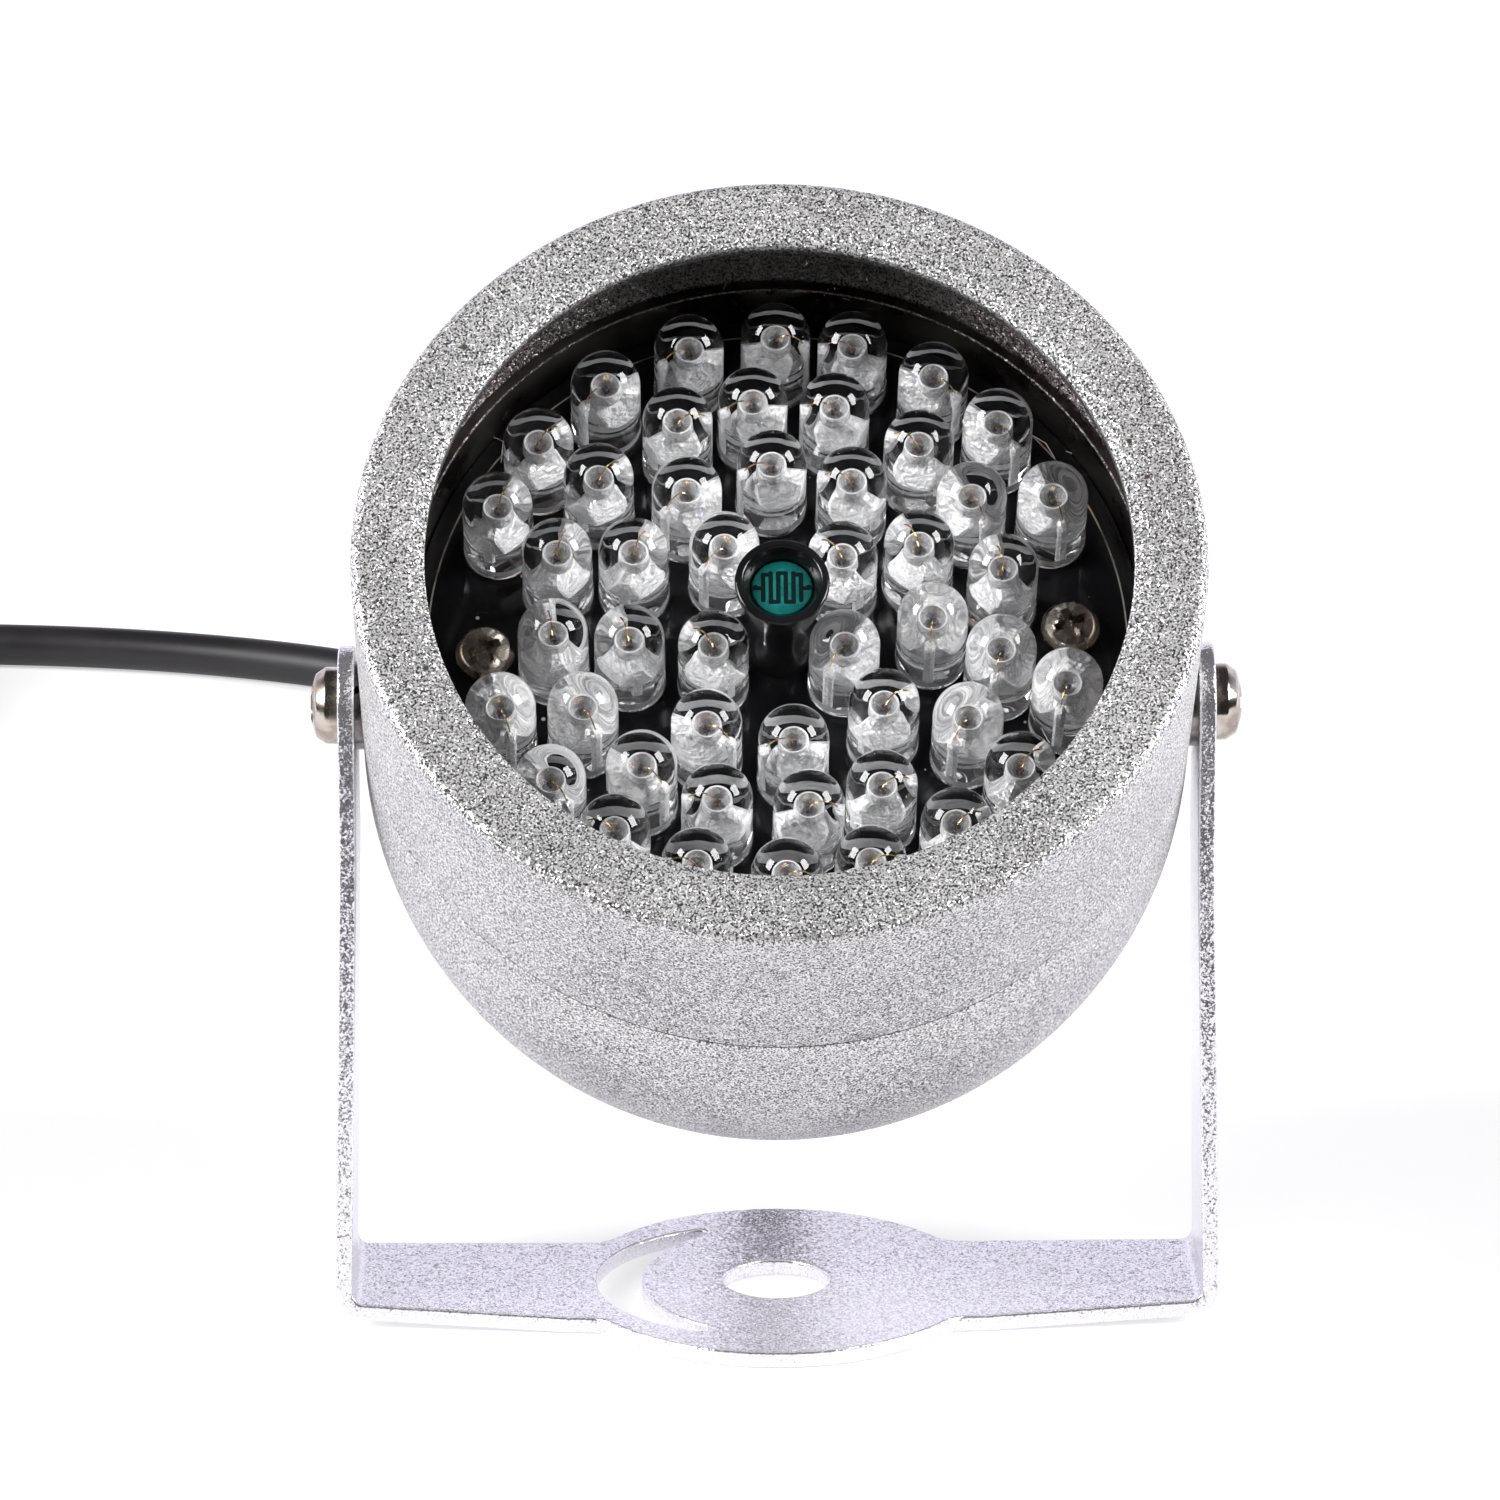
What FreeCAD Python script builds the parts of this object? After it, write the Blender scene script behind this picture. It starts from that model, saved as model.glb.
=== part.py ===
import FreeCAD, Part
import math
import os

from FreeCAD import Vector

# Infrared illuminator on a bent sheet bracket, in millimetres.
# The origin is the centre of the mounting hole on the bracket's underside. +Z is up, X runs along the
# pivot screws, and the lamp looks towards -Y and upwards.

# Pose of the lamp head
LAMP_TILT_DEG = 43.5
PIVOT_Z = 44.2

# Front bezel, measured along the lamp axis from the pivot
HEAD_R = 29.0
RIM_AHEAD = 22.8
RIM_WIDTH = 5.0
RIM_ROUND = 0.7
OPENING_BEVEL = 1.15
OPENING_BEVEL_DEPTH = 0.45
LIP_T = 1.5
BEZEL_WALL = 2.5
SEAM_AHEAD = 5.6
SEAM_CHAMFER = 0.3

# Rear housing
DOME_BEHIND = 3.9
DOME_WALL = 2.2
NECK_LENGTH = 8.1
NECK_WALL = 1.0
THREAD_CLEARANCE = 0.05
BOARD_LEDGE = 2.7
SEAL_GROOVE_DEPTH = 0.8
SEAL_GROOVE_AHEAD = 0.5
SEAL_WIDTH = 1.3
SEAL_CLEARANCE = 0.02
CABLE_SEAT_R = 5.0
CABLE_SEAT_WALL = 2.6
PIVOT_SEAT_DEPTH = 0.5
PIVOT_SEAT_R = 3.7
PIVOT_HOLE_FLOOR = 0.4

# Round board that carries the diodes
BOARD_CLEARANCE = 0.15
BOARD_T = 1.6
BOARD_BELOW_RIM = 13.4
BOARD_SCREW_EDGE = 5.1
BOARD_SCREW_ANGLES = (2, 183)
BOSS_R = 3.0
BOSS_LENGTH = 8.0
LEAD_HOLE_CLEARANCE = 0.2

# Infrared diodes, standing in four rings
DIODE_R = 2.425
DIODE_FLANGE_R = 2.475
DIODE_FLANGE_T = 1.0
DIODE_HEIGHT = 8.6
DIODE_GAP = 0.05
LEAD_R = 0.25
LEAD_SPREAD = 1.27
LEAD_TAIL = 1.0
SOLDER_R = 0.75
SOLDER_T = 0.7
FIRST_RING_R = 5.6
RING_ANGLES = (
    (38, 131, 217, 323),
    (24, 61, 92, 126, 159, 196, 242, 275, 312, 353),
    (9, 31, 51, 75, 96, 116, 142, 166, 189, 211, 233, 254, 277, 296, 325, 346),
    (23, 42, 58, 75, 90, 107, 125, 143, 159, 203, 221, 237, 254, 271, 287, 305, 322, 342),
)
STRING_COUNT = 8
DIODE_EDGE_MARGIN = 0.5

# Light sensor in its black sleeve
SENSOR_X = 0.2
SENSOR_Y = -0.6
SENSOR_R = 2.15
SENSOR_T = 1.6
SENSOR_SINK = 1.0
SENSOR_LEAD_SPREAD = 1.0
SLEEVE_HEIGHT = 10.3
SLEEVE_FOOT_R = 2.2
SLEEVE_TOP_R = 3.25
SLEEVE_STRAIGHT = 4.5
SLEEVE_WALL = 0.55
SLEEVE_CLEARANCE = 0.05

# Small components on the back of the board
RESISTOR_SIZE = (3.2, 1.6, 0.6)
TRANSISTOR_SIZE = (2.9, 1.4, 1.0)
TRANSISTOR_LEG_SIZE = (0.4, 0.6, 0.15)
GUARD_DIODE_SIZE = (4.2, 2.4, 2.0)
TRANSISTOR_ANGLE = 60
GUARD_DIODE_ANGLE = 120

# Fasteners
PIVOT_SCREW_R = 1.5
PIVOT_SCREW_LENGTH = 6.0
PIVOT_HEAD_R = 2.7
PIVOT_HEAD_T = 1.95
PIVOT_SCREW_TURN_DEG = 30
BOARD_SCREW_SHANK_R = 1.1
BOARD_SCREW_LENGTH = 6.0
BOARD_HEAD_R = 2.05
BOARD_HEAD_T = 1.5
BOARD_SCREW_TURN_DEG = 20
SCREW_HOLE_CLEARANCE = 0.2
WASHER_R = 3.1
WASHER_SLIT = 0.5
WASHER_SLIT_TURN_DEG = 25

# Pan heads with a cross recess, as shares of the head's radius and height
PAN_BRIM = 0.45
PAN_SHOULDER = 0.82
PAN_FLAT = 0.45
RECESS_SPAN = 0.86
RECESS_WIDTH = 0.3
RECESS_FLOOR = 0.4
SHANK_TIP = 0.25

# Bracket, bent from one sheet
SHEET_T = 1.2
ARM_GAP = 0.4
ARM_FOOT_SPREAD = 0.75
ARM_KINK_Z = 34.0
ARM_END_R = 4.2
BEND_R = 1.5
KINK_R = 30.0
STRAP_LIFT = 0.6
DISC_R = 14.5
STRAP_HALF_AT_DISC = 7.6
STRAP_HALF_AT_BEND = 6.2
STRAP_FILLET_R = 2.5
MOUNTING_HOLE_R = 3.75
SLOT_OUTER_R = 10.6
SLOT_OUTER_X = -2.25
SLOT_INNER_R = 11.5
SLOT_INNER_X = 1.85
SLOT_TIP_X = -5.5
SLOT_TIP_BULGE = 0.6

# Cable, its grommet and the wires inside
CABLE_R = 1.85
CABLE_CLEARANCE = 0.05
GROMMET_TIP_R = 2.6
GROMMET_TAIL_R = 3.6
GROMMET_TAIL = 5.0
GROMMET_FLANGE_R = 4.6
GROMMET_FLANGE_T = 1.03
GROMMET_HOLE_R = 3.0
GROMMET_INNER_R = 4.0
GROMMET_INNER_T = 1.2
STUB_INSIDE = 6.0
TIE_R = 2.9
TIE_T = 2.0
WIRE_R = 0.7
WIRE_PAD_R = 8.1
WIRE_KNEE_BACK = 12.0

# Free cable: a hand-chosen route behind the lamp, then a put-away coil and the inline socket
CABLE_FIRST_RUN = 13.0
ARC_SHARE = 0.45
LEAD_ROUTE = (
    (0.0, 54.7, 1.85),
    (-0.5, 75.0, 1.85),
    (-2.5, 97.0, 1.85),
)
RUN_ROUTE = (
    (-7.0, 117.5, 1.85),
    (-17.0, 136.0, 1.85),
    (-33.0, 150.5, 1.85),
    (-53.5, 158.6, 1.85),
    (-76.0, 161.0, 1.85),
    (-93.0, 160.9, 1.85),
)
COIL_X = -98.0
COIL_Y = 139.6
COIL_MID_R = 21.0
COIL_HALF_WIDTH = 2.3
COIL_HEIGHT = 12.4
COIL_ROUND = 1.4
TAIL_ROUTE = (
    (-119.0, 136.0, 10.2),
    (-119.3, 125.0, 9.6),
    (-119.0, 115.0, 7.2),
    (-118.6, 105.5, 5.25),
    (-118.5, 97.0, 5.25),
)
SOCKET_R = 5.25
SOCKET_LENGTH = 24.0
SOCKET_TAIL = 8.0
SOCKET_TAIL_R = 2.7
SOCKET_NECK_R = 3.8
SOCKET_BORE_R = 2.9
SOCKET_BORE_DEPTH = 10.0
SOCKET_ROUND = 0.6
CONTACT_T = 0.25
CONTACT_SHORT = 0.8
PIN_R = 1.0
PIN_SHORT = 1.2

# Places that follow from the sizes above, mostly along the lamp axis
SAME_POINT = 1e-6
OPENING_R = HEAD_R - RIM_WIDTH
BEZEL_BORE_R = HEAD_R - BEZEL_WALL
NECK_R = BEZEL_BORE_R - THREAD_CLEARANCE
NECK_BORE_R = NECK_R - NECK_WALL
NECK_END = SEAM_AHEAD + NECK_LENGTH
BOARD_TOP = RIM_AHEAD - BOARD_BELOW_RIM
BOARD_BACK = BOARD_TOP - BOARD_T
BOARD_R = NECK_BORE_R - BOARD_CLEARANCE
BOARD_SCREW_R = BOARD_R - BOARD_SCREW_EDGE
CAVITY_R = BOARD_R - BOARD_LEDGE
CAVITY_DOME_R = HEAD_R - DOME_WALL
CABLE_SEAT = -DOME_BEHIND - math.sqrt(HEAD_R ** 2 - CABLE_SEAT_R ** 2)
CAVITY_FLOOR = CABLE_SEAT + CABLE_SEAT_WALL
GROMMET_TIP = CABLE_SEAT - GROMMET_FLANGE_T - GROMMET_TAIL
GROMMET_INNER_END = CAVITY_FLOOR + GROMMET_INNER_T
STUB_END = GROMMET_INNER_END + STUB_INSIDE
PIVOT_SEAT_X = HEAD_R - PIVOT_SEAT_DEPTH
ARM_INNER_X = HEAD_R + ARM_GAP
ARM_OUTER_X = ARM_INNER_X + SHEET_T
RING_PITCH = 2 * DIODE_FLANGE_R + DIODE_GAP
INNER_GAP_RING_R = FIRST_RING_R + 1.5 * RING_PITCH
OUTER_GAP_RING_R = FIRST_RING_R + 2.5 * RING_PITCH
LEAD_HOLE_R = LEAD_R + LEAD_HOLE_CLEARANCE


def swing(x, y, r, start_deg, end_deg):
    """Middle and end point of an arc about x, y, for the outline function."""
    return tuple(
        (x + r * math.cos(math.radians(a)), y + r * math.sin(math.radians(a)))
        for a in ((start_deg + end_deg) / 2, end_deg)
    )


def outline(start, steps, place):
    """A closed face. Each step is a point for a line, or a middle and an end point for an arc."""
    edges = []
    here = start
    for step in list(steps) + [start]:
        arc = isinstance(step[0], tuple)
        there = step[1] if arc else step
        if arc:
            edges.append(Part.Arc(place(*here), place(*step[0]), place(*there)).toShape())
        elif math.dist(here, there) > SAME_POINT:
            edges.append(Part.LineSegment(place(*here), place(*there)).toShape())
        here = there
    return Part.Face(Part.Wire(edges))


def lathe(start, steps):
    """A solid turned about the local Z axis from an outline of radius and height."""
    face = outline(start, steps, lambda r, z: Vector(r, 0, z))
    return face.revolve(Vector(0, 0, 0), Vector(0, 0, 1), 360)


def rod(r, length, base, axis=(0, 0, 1)):
    return Part.makeCylinder(r, length, Vector(*base), Vector(*axis))


def block(size, centre, turn_deg=0.0):
    """A box of the given size, standing on centre and turned about Z."""
    box = Part.makeBox(size[0], size[1], size[2], Vector(-size[0] / 2, -size[1] / 2, 0))
    box.rotate(Vector(0, 0, 0), Vector(0, 0, 1), turn_deg)
    box.translate(Vector(*centre))
    return box


def polar(r, angle_deg, z=0.0):
    a = math.radians(angle_deg)
    return (r * math.cos(a), r * math.sin(a), z)


def on_head(shape):
    """From the lamp's own frame, with Z along its axis, into the bracket's frame."""
    shape = shape.copy()
    shape.rotate(Vector(0, 0, 0), Vector(1, 0, 0), 90 - LAMP_TILT_DEG)
    shape.translate(Vector(0, 0, PIVOT_Z))
    return shape


def head_point(z):
    """A point on the lamp axis, as coordinates in the bracket's frame."""
    a = math.radians(LAMP_TILT_DEG)
    return (0.0, -z * math.cos(a), PIVOT_Z + z * math.sin(a))


def front_bezel():
    return lathe(
        (OPENING_R, RIM_AHEAD - LIP_T),
        (
            (OPENING_R, RIM_AHEAD - OPENING_BEVEL_DEPTH),
            (OPENING_R + OPENING_BEVEL, RIM_AHEAD),
            (HEAD_R - RIM_ROUND, RIM_AHEAD),
            swing(HEAD_R - RIM_ROUND, RIM_AHEAD - RIM_ROUND, RIM_ROUND, 90, 0),
            (HEAD_R, SEAM_AHEAD + SEAM_CHAMFER),
            (HEAD_R - SEAM_CHAMFER, SEAM_AHEAD),
            (BEZEL_BORE_R, SEAM_AHEAD),
            (BEZEL_BORE_R, RIM_AHEAD - LIP_T),
        ),
    )


def seal_ring():
    low = SEAM_AHEAD + SEAL_GROOVE_AHEAD
    inner = NECK_R - SEAL_GROOVE_DEPTH + SEAL_CLEARANCE
    outer = BEZEL_BORE_R - SEAL_CLEARANCE
    r = (outer - inner) / 3
    return lathe(
        (inner + r, low),
        (
            (outer - r, low),
            swing(outer - r, low + r, r, -90, 0),
            (outer, low + SEAL_WIDTH - r),
            swing(outer - r, low + SEAL_WIDTH - r, r, 0, 90),
            (inner + r, low + SEAL_WIDTH),
            swing(inner + r, low + SEAL_WIDTH - r, r, 90, 180),
            (inner, low + r),
            swing(inner + r, low + r, r, 180, 270),
        ),
    )


def housing_shell():
    groove_low = SEAM_AHEAD + SEAL_GROOVE_AHEAD
    groove_high = groove_low + SEAL_WIDTH + SEAL_CLEARANCE
    seat_angle = -math.degrees(math.acos(CABLE_SEAT_R / HEAD_R))
    floor_angle = math.degrees(math.asin((CAVITY_FLOOR + DOME_BEHIND) / CAVITY_DOME_R))
    wall_angle = -math.degrees(math.acos(CAVITY_R / CAVITY_DOME_R))
    floor_r = CAVITY_DOME_R * math.cos(math.radians(floor_angle))
    return lathe(
        (NECK_BORE_R, NECK_END),
        (
            (NECK_R - SEAM_CHAMFER, NECK_END),
            (NECK_R, NECK_END - SEAM_CHAMFER),
            (NECK_R, groove_high),
            (NECK_R - SEAL_GROOVE_DEPTH, groove_high),
            (NECK_R - SEAL_GROOVE_DEPTH, groove_low),
            (NECK_R, groove_low),
            (NECK_R, SEAM_AHEAD),
            (HEAD_R - SEAM_CHAMFER, SEAM_AHEAD),
            (HEAD_R, SEAM_AHEAD - SEAM_CHAMFER),
            (HEAD_R, -DOME_BEHIND),
            swing(0, -DOME_BEHIND, HEAD_R, 0, seat_angle),
            (GROMMET_HOLE_R, CABLE_SEAT),
            (GROMMET_HOLE_R, CAVITY_FLOOR),
            (floor_r, CAVITY_FLOOR),
            swing(0, -DOME_BEHIND, CAVITY_DOME_R, floor_angle, wall_angle),
            (CAVITY_R, BOARD_BACK),
            (NECK_BORE_R, BOARD_BACK),
        ),
    )


def rear_housing():
    shell = housing_shell()
    for angle in BOARD_SCREW_ANGLES:
        boss = rod(BOSS_R, BOSS_LENGTH, polar(BOARD_SCREW_R, angle, BOARD_BACK - BOSS_LENGTH))
        shell = shell.fuse(boss)
    for angle in BOARD_SCREW_ANGLES:
        depth = BOARD_SCREW_LENGTH - BOARD_T + SCREW_HOLE_CLEARANCE
        hole = rod(BOARD_SCREW_SHANK_R + THREAD_CLEARANCE, depth,
                   polar(BOARD_SCREW_R, angle, BOARD_BACK - depth))
        shell = shell.cut(hole)
    tip_x = ARM_OUTER_X - PIVOT_SCREW_LENGTH - PIVOT_HOLE_FLOOR
    for side in (1, -1):
        seat = rod(PIVOT_SEAT_R, HEAD_R, (side * PIVOT_SEAT_X, 0, 0), (side, 0, 0))
        hole = rod(PIVOT_SCREW_R + THREAD_CLEARANCE, HEAD_R, (side * tip_x, 0, 0), (side, 0, 0))
        shell = shell.cut(seat).cut(hole)
    return shell.removeSplitter()


def has_room(r, angle):
    """A diode stands only where it clears the edge of the board and the heads of the board's screws."""
    here = polar(r, angle)
    screws = [math.dist(here, polar(BOARD_SCREW_R, a)) for a in BOARD_SCREW_ANGLES]
    clear = min(screws) > DIODE_FLANGE_R + BOARD_HEAD_R
    return clear and r + DIODE_FLANGE_R < BOARD_R - DIODE_EDGE_MARGIN


def diode_places():
    """Every diode's place on the board as radius and angle, ring by ring."""
    return [
        (FIRST_RING_R + ring * RING_PITCH, angle)
        for ring, angles in enumerate(RING_ANGLES)
        for angle in angles
        if has_room(FIRST_RING_R + ring * RING_PITCH, angle)
    ]


def lead_places(r, angle):
    """Both leads of a diode stand across its radius."""
    x, y, _ = polar(r, angle)
    dx, dy, _ = polar(LEAD_SPREAD, angle + 90)
    return ((x + dx, y + dy), (x - dx, y - dy))


def sensor_lead_places():
    return (
        (SENSOR_X + SENSOR_LEAD_SPREAD, SENSOR_Y),
        (SENSOR_X - SENSOR_LEAD_SPREAD, SENSOR_Y),
    )


def board():
    disc = rod(BOARD_R, BOARD_T, (0, 0, BOARD_BACK))
    places = [p for r, a in diode_places() for p in lead_places(r, a)]
    places += sensor_lead_places()
    holes = [rod(LEAD_HOLE_R, BOARD_T, (x, y, BOARD_BACK)) for x, y in places]
    for angle in BOARD_SCREW_ANGLES:
        holes.append(rod(BOARD_SCREW_SHANK_R + SCREW_HOLE_CLEARANCE, BOARD_T,
                         polar(BOARD_SCREW_R, angle, BOARD_BACK)))
    return disc.cut(Part.makeCompound(holes))


def soldered_lead(x, y, top):
    """A lead through the board, with its cone of solder on the back."""
    length = top - BOARD_BACK + LEAD_TAIL
    lead = rod(LEAD_R, length, (x, y, BOARD_BACK - LEAD_TAIL))
    cone = Part.makeCone(SOLDER_R, LEAD_R, SOLDER_T, Vector(x, y, BOARD_BACK), Vector(0, 0, -1))
    return lead.fuse(cone)


def diode(r, angle):
    shoulder = DIODE_HEIGHT - DIODE_R
    body = lathe(
        (0, 0),
        (
            (DIODE_FLANGE_R, 0),
            (DIODE_FLANGE_R, DIODE_FLANGE_T),
            (DIODE_R, DIODE_FLANGE_T),
            (DIODE_R, shoulder),
            swing(0, shoulder, DIODE_R, 0, 90),
        ),
    )
    body.translate(Vector(*polar(r, angle, BOARD_TOP)))
    for x, y in lead_places(r, angle):
        body = body.fuse(soldered_lead(x, y, BOARD_TOP))
    return body


def diode_strings():
    """The diodes, shared out in the order of their places between strings wired in series."""
    places = diode_places()
    cuts = [round(k * len(places) / STRING_COUNT) for k in range(STRING_COUNT + 1)]
    return [
        Part.makeCompound([diode(r, a) for r, a in places[first:last]])
        for first, last in zip(cuts, cuts[1:])
    ]


def sensor():
    top = BOARD_TOP + SLEEVE_HEIGHT - SENSOR_SINK
    body = rod(SENSOR_R, SENSOR_T, (SENSOR_X, SENSOR_Y, top - SENSOR_T))
    for x, y in sensor_lead_places():
        body = body.fuse(soldered_lead(x, y, top - SENSOR_T))
    return body


def sensor_sleeve():
    seat = SLEEVE_HEIGHT - SENSOR_SINK - SENSOR_T
    seat_r = SENSOR_R + SLEEVE_CLEARANCE
    sleeve = lathe(
        (SLEEVE_FOOT_R - SLEEVE_WALL, 0),
        (
            (SLEEVE_FOOT_R, 0),
            (SLEEVE_FOOT_R, SLEEVE_STRAIGHT),
            (SLEEVE_TOP_R, SLEEVE_HEIGHT),
            (SLEEVE_TOP_R - SLEEVE_WALL, SLEEVE_HEIGHT),
            (seat_r, SLEEVE_HEIGHT - SENSOR_SINK),
            (seat_r, seat),
            (SLEEVE_FOOT_R - SLEEVE_WALL, seat),
        ),
    )
    sleeve.translate(Vector(SENSOR_X, SENSOR_Y, BOARD_TOP))
    return sleeve


def back_part(size, r, angle):
    """A box-shaped component lying on the back of the board, its long side across the radius."""
    return block(size, polar(r, angle, BOARD_BACK - size[2]), angle + 90)


def resistors():
    """One for each string, in the gap between two rings of leads."""
    step = 360 / STRING_COUNT
    return Part.makeCompound([
        back_part(RESISTOR_SIZE, INNER_GAP_RING_R, (k + 0.5) * step) for k in range(STRING_COUNT)
    ])


def transistor():
    body = back_part(TRANSISTOR_SIZE, OUTER_GAP_RING_R, TRANSISTOR_ANGLE)
    reach = (TRANSISTOR_SIZE[1] + TRANSISTOR_LEG_SIZE[1]) / 2
    spread = math.degrees(TRANSISTOR_SIZE[0] / 3 / OUTER_GAP_RING_R)
    for turn, out in ((spread, 1), (-spread, 1), (0, -1)):
        leg = back_part(TRANSISTOR_LEG_SIZE, OUTER_GAP_RING_R + out * reach, TRANSISTOR_ANGLE + turn)
        body = body.fuse(leg)
    return body


def guard_diode():
    return back_part(GUARD_DIODE_SIZE, OUTER_GAP_RING_R, GUARD_DIODE_ANGLE)


def pan_screw(head_r, head_t, shank_r, shank_length):
    """A pan head on z = 0 with a cross recess, and its shank below."""
    tip = shank_r * SHANK_TIP
    shoulder = (head_r * PAN_SHOULDER, head_t * PAN_SHOULDER)
    screw = lathe(
        (0, -shank_length),
        (
            (shank_r - tip, -shank_length),
            (shank_r, tip - shank_length),
            (shank_r, 0),
            (head_r, 0),
            (head_r, head_t * PAN_BRIM),
            (shoulder, (head_r * PAN_FLAT, head_t)),
            (0, head_t),
        ),
    )
    slot = (head_r * RECESS_SPAN, head_r * RECESS_WIDTH, head_t)
    for turn in (0, 90):
        screw = screw.cut(block(slot, (0, 0, head_t * RECESS_FLOOR), turn))
    return screw


def pivot_screw(side):
    screw = pan_screw(PIVOT_HEAD_R, PIVOT_HEAD_T, PIVOT_SCREW_R, PIVOT_SCREW_LENGTH)
    screw.rotate(Vector(0, 0, 0), Vector(0, 0, 1), PIVOT_SCREW_TURN_DEG)
    screw.rotate(Vector(0, 0, 0), Vector(0, 1, 0), side * 90)
    screw.translate(Vector(side * ARM_OUTER_X, 0, 0))
    return screw


def pivot_washer(side):
    """A split spring washer, pressed flat between the arm and the seat on the housing."""
    width = ARM_INNER_X - PIVOT_SEAT_X
    base = (side * PIVOT_SEAT_X, 0, 0)
    ring = rod(WASHER_R, width, base, (side, 0, 0))
    ring = ring.cut(rod(PIVOT_SCREW_R + SCREW_HOLE_CLEARANCE, width, base, (side, 0, 0)))
    slit = block((3 * width, WASHER_SLIT, 2 * WASHER_R), base, WASHER_SLIT_TURN_DEG)
    return ring.cut(slit)


def board_screw(angle):
    screw = pan_screw(BOARD_HEAD_R, BOARD_HEAD_T, BOARD_SCREW_SHANK_R, BOARD_SCREW_LENGTH)
    screw.rotate(Vector(0, 0, 0), Vector(0, 0, 1), angle + BOARD_SCREW_TURN_DEG)
    screw.translate(Vector(*polar(BOARD_SCREW_R, angle, BOARD_TOP)))
    return screw


def strip_outline(points, radii, half):
    """The section of a bent strip: its centre line, the radius at each inner point, half its thickness."""
    units = []
    for a, b in zip(points, points[1:]):
        length = math.dist(a, b)
        units.append(((b[0] - a[0]) / length, (b[1] - a[1]) / length))
    sides = ([], [])
    for k, r in enumerate(radii, 1):
        (ux, uy), (vx, vy) = units[k - 1], units[k]
        turn = math.atan2(ux * vy - uy * vx, ux * vx + uy * vy)
        sign = math.copysign(1, turn)
        trim = r * math.tan(abs(turn) / 2)
        px, py = points[k]
        start = (px - ux * trim, py - uy * trim)
        end = (px + vx * trim, py + vy * trim)
        centre = (start[0] - uy * sign * r, start[1] + ux * sign * r)
        reach = math.dist(centre, (px, py))
        out = ((px - centre[0]) / reach, (py - centre[1]) / reach)
        for side, steps in zip((1, -1), sides):
            mid_r = r - sign * side * half
            a = (start[0] - uy * side * half, start[1] + ux * side * half)
            b = (end[0] - vy * side * half, end[1] + vx * side * half)
            m = (centre[0] + out[0] * mid_r, centre[1] + out[1] * mid_r)
            steps.append((a, m, b))
    (ux, uy), (vx, vy) = units[0], units[-1]
    first, last = points[0], points[-1]
    steps = []
    for a, m, b in sides[0]:
        steps += [a, (m, b)]
    steps += [(last[0] - vy * half, last[1] + vx * half), (last[0] + vy * half, last[1] - vx * half)]
    for a, m, b in reversed(sides[1]):
        steps += [b, (m, a)]
    steps.append((first[0] + uy * half, first[1] - ux * half))
    return (first[0] - uy * half, first[1] + ux * half), steps


def bracket_strip():
    """The bent sheet at full width, before its outline is cut."""
    half = SHEET_T / 2
    arm_x = ARM_INNER_X + half
    foot_x = arm_x + ARM_FOOT_SPREAD
    top = PIVOT_Z + ARM_END_R
    right = ((DISC_R, half), (foot_x, half + STRAP_LIFT), (arm_x, ARM_KINK_Z), (arm_x, top))
    left = tuple((-x, z) for x, z in reversed(right))
    radii = (KINK_R, BEND_R, KINK_R)
    start, steps = strip_outline(left + right, radii + radii[::-1], half)
    face = outline(start, steps, lambda x, z: Vector(x, -DISC_R, z))
    return face.extrude(Vector(0, 2 * DISC_R, 0))


def bracket_plan():
    """The outline of the base from above: a disc with two tapered straps."""
    high = STRAP_LIFT + 2 * SHEET_T + BEND_R
    outer = ARM_OUTER_X + ARM_FOOT_SPREAD
    quarter = ((outer, STRAP_HALF_AT_BEND), (DISC_R, STRAP_HALF_AT_DISC))
    upper = list(quarter) + [(-x, y) for x, y in reversed(quarter)]
    lower = [(x, -y) for x, y in reversed(upper)]
    straps = outline(upper[0], upper[1:] + lower, lambda x, y: Vector(x, y, -SHEET_T))
    low = SHEET_T + high
    plan = straps.extrude(Vector(0, 0, low)).fuse(rod(DISC_R, low, (0, 0, -SHEET_T))).removeSplitter()
    corner_x = math.sqrt(DISC_R ** 2 - STRAP_HALF_AT_DISC ** 2)
    middle = low / 2 - SHEET_T
    ends = [
        Vector(side * corner_x, end * STRAP_HALF_AT_DISC, middle)
        for side in (1, -1)
        for end in (1, -1)
    ]
    corners = [e for e in plan.Edges if min(e.CenterOfMass.distanceToPoint(p) for p in ends) < SAME_POINT]
    return plan.makeFillet(STRAP_FILLET_R, corners), high - SHEET_T


def bracket_side(low):
    """The outline of both arms from the side, above the height low."""
    outer = ARM_OUTER_X + ARM_FOOT_SPREAD + SHEET_T
    face = outline(
        (STRAP_HALF_AT_BEND, low),
        (
            (ARM_END_R, PIVOT_Z),
            swing(0, PIVOT_Z, ARM_END_R, 0, 90),
            swing(0, PIVOT_Z, ARM_END_R, 90, 180),
            (-STRAP_HALF_AT_BEND, low),
        ),
        lambda y, z: Vector(-outer, y, z),
    )
    return face.extrude(Vector(2 * outer, 0, 0))


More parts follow.
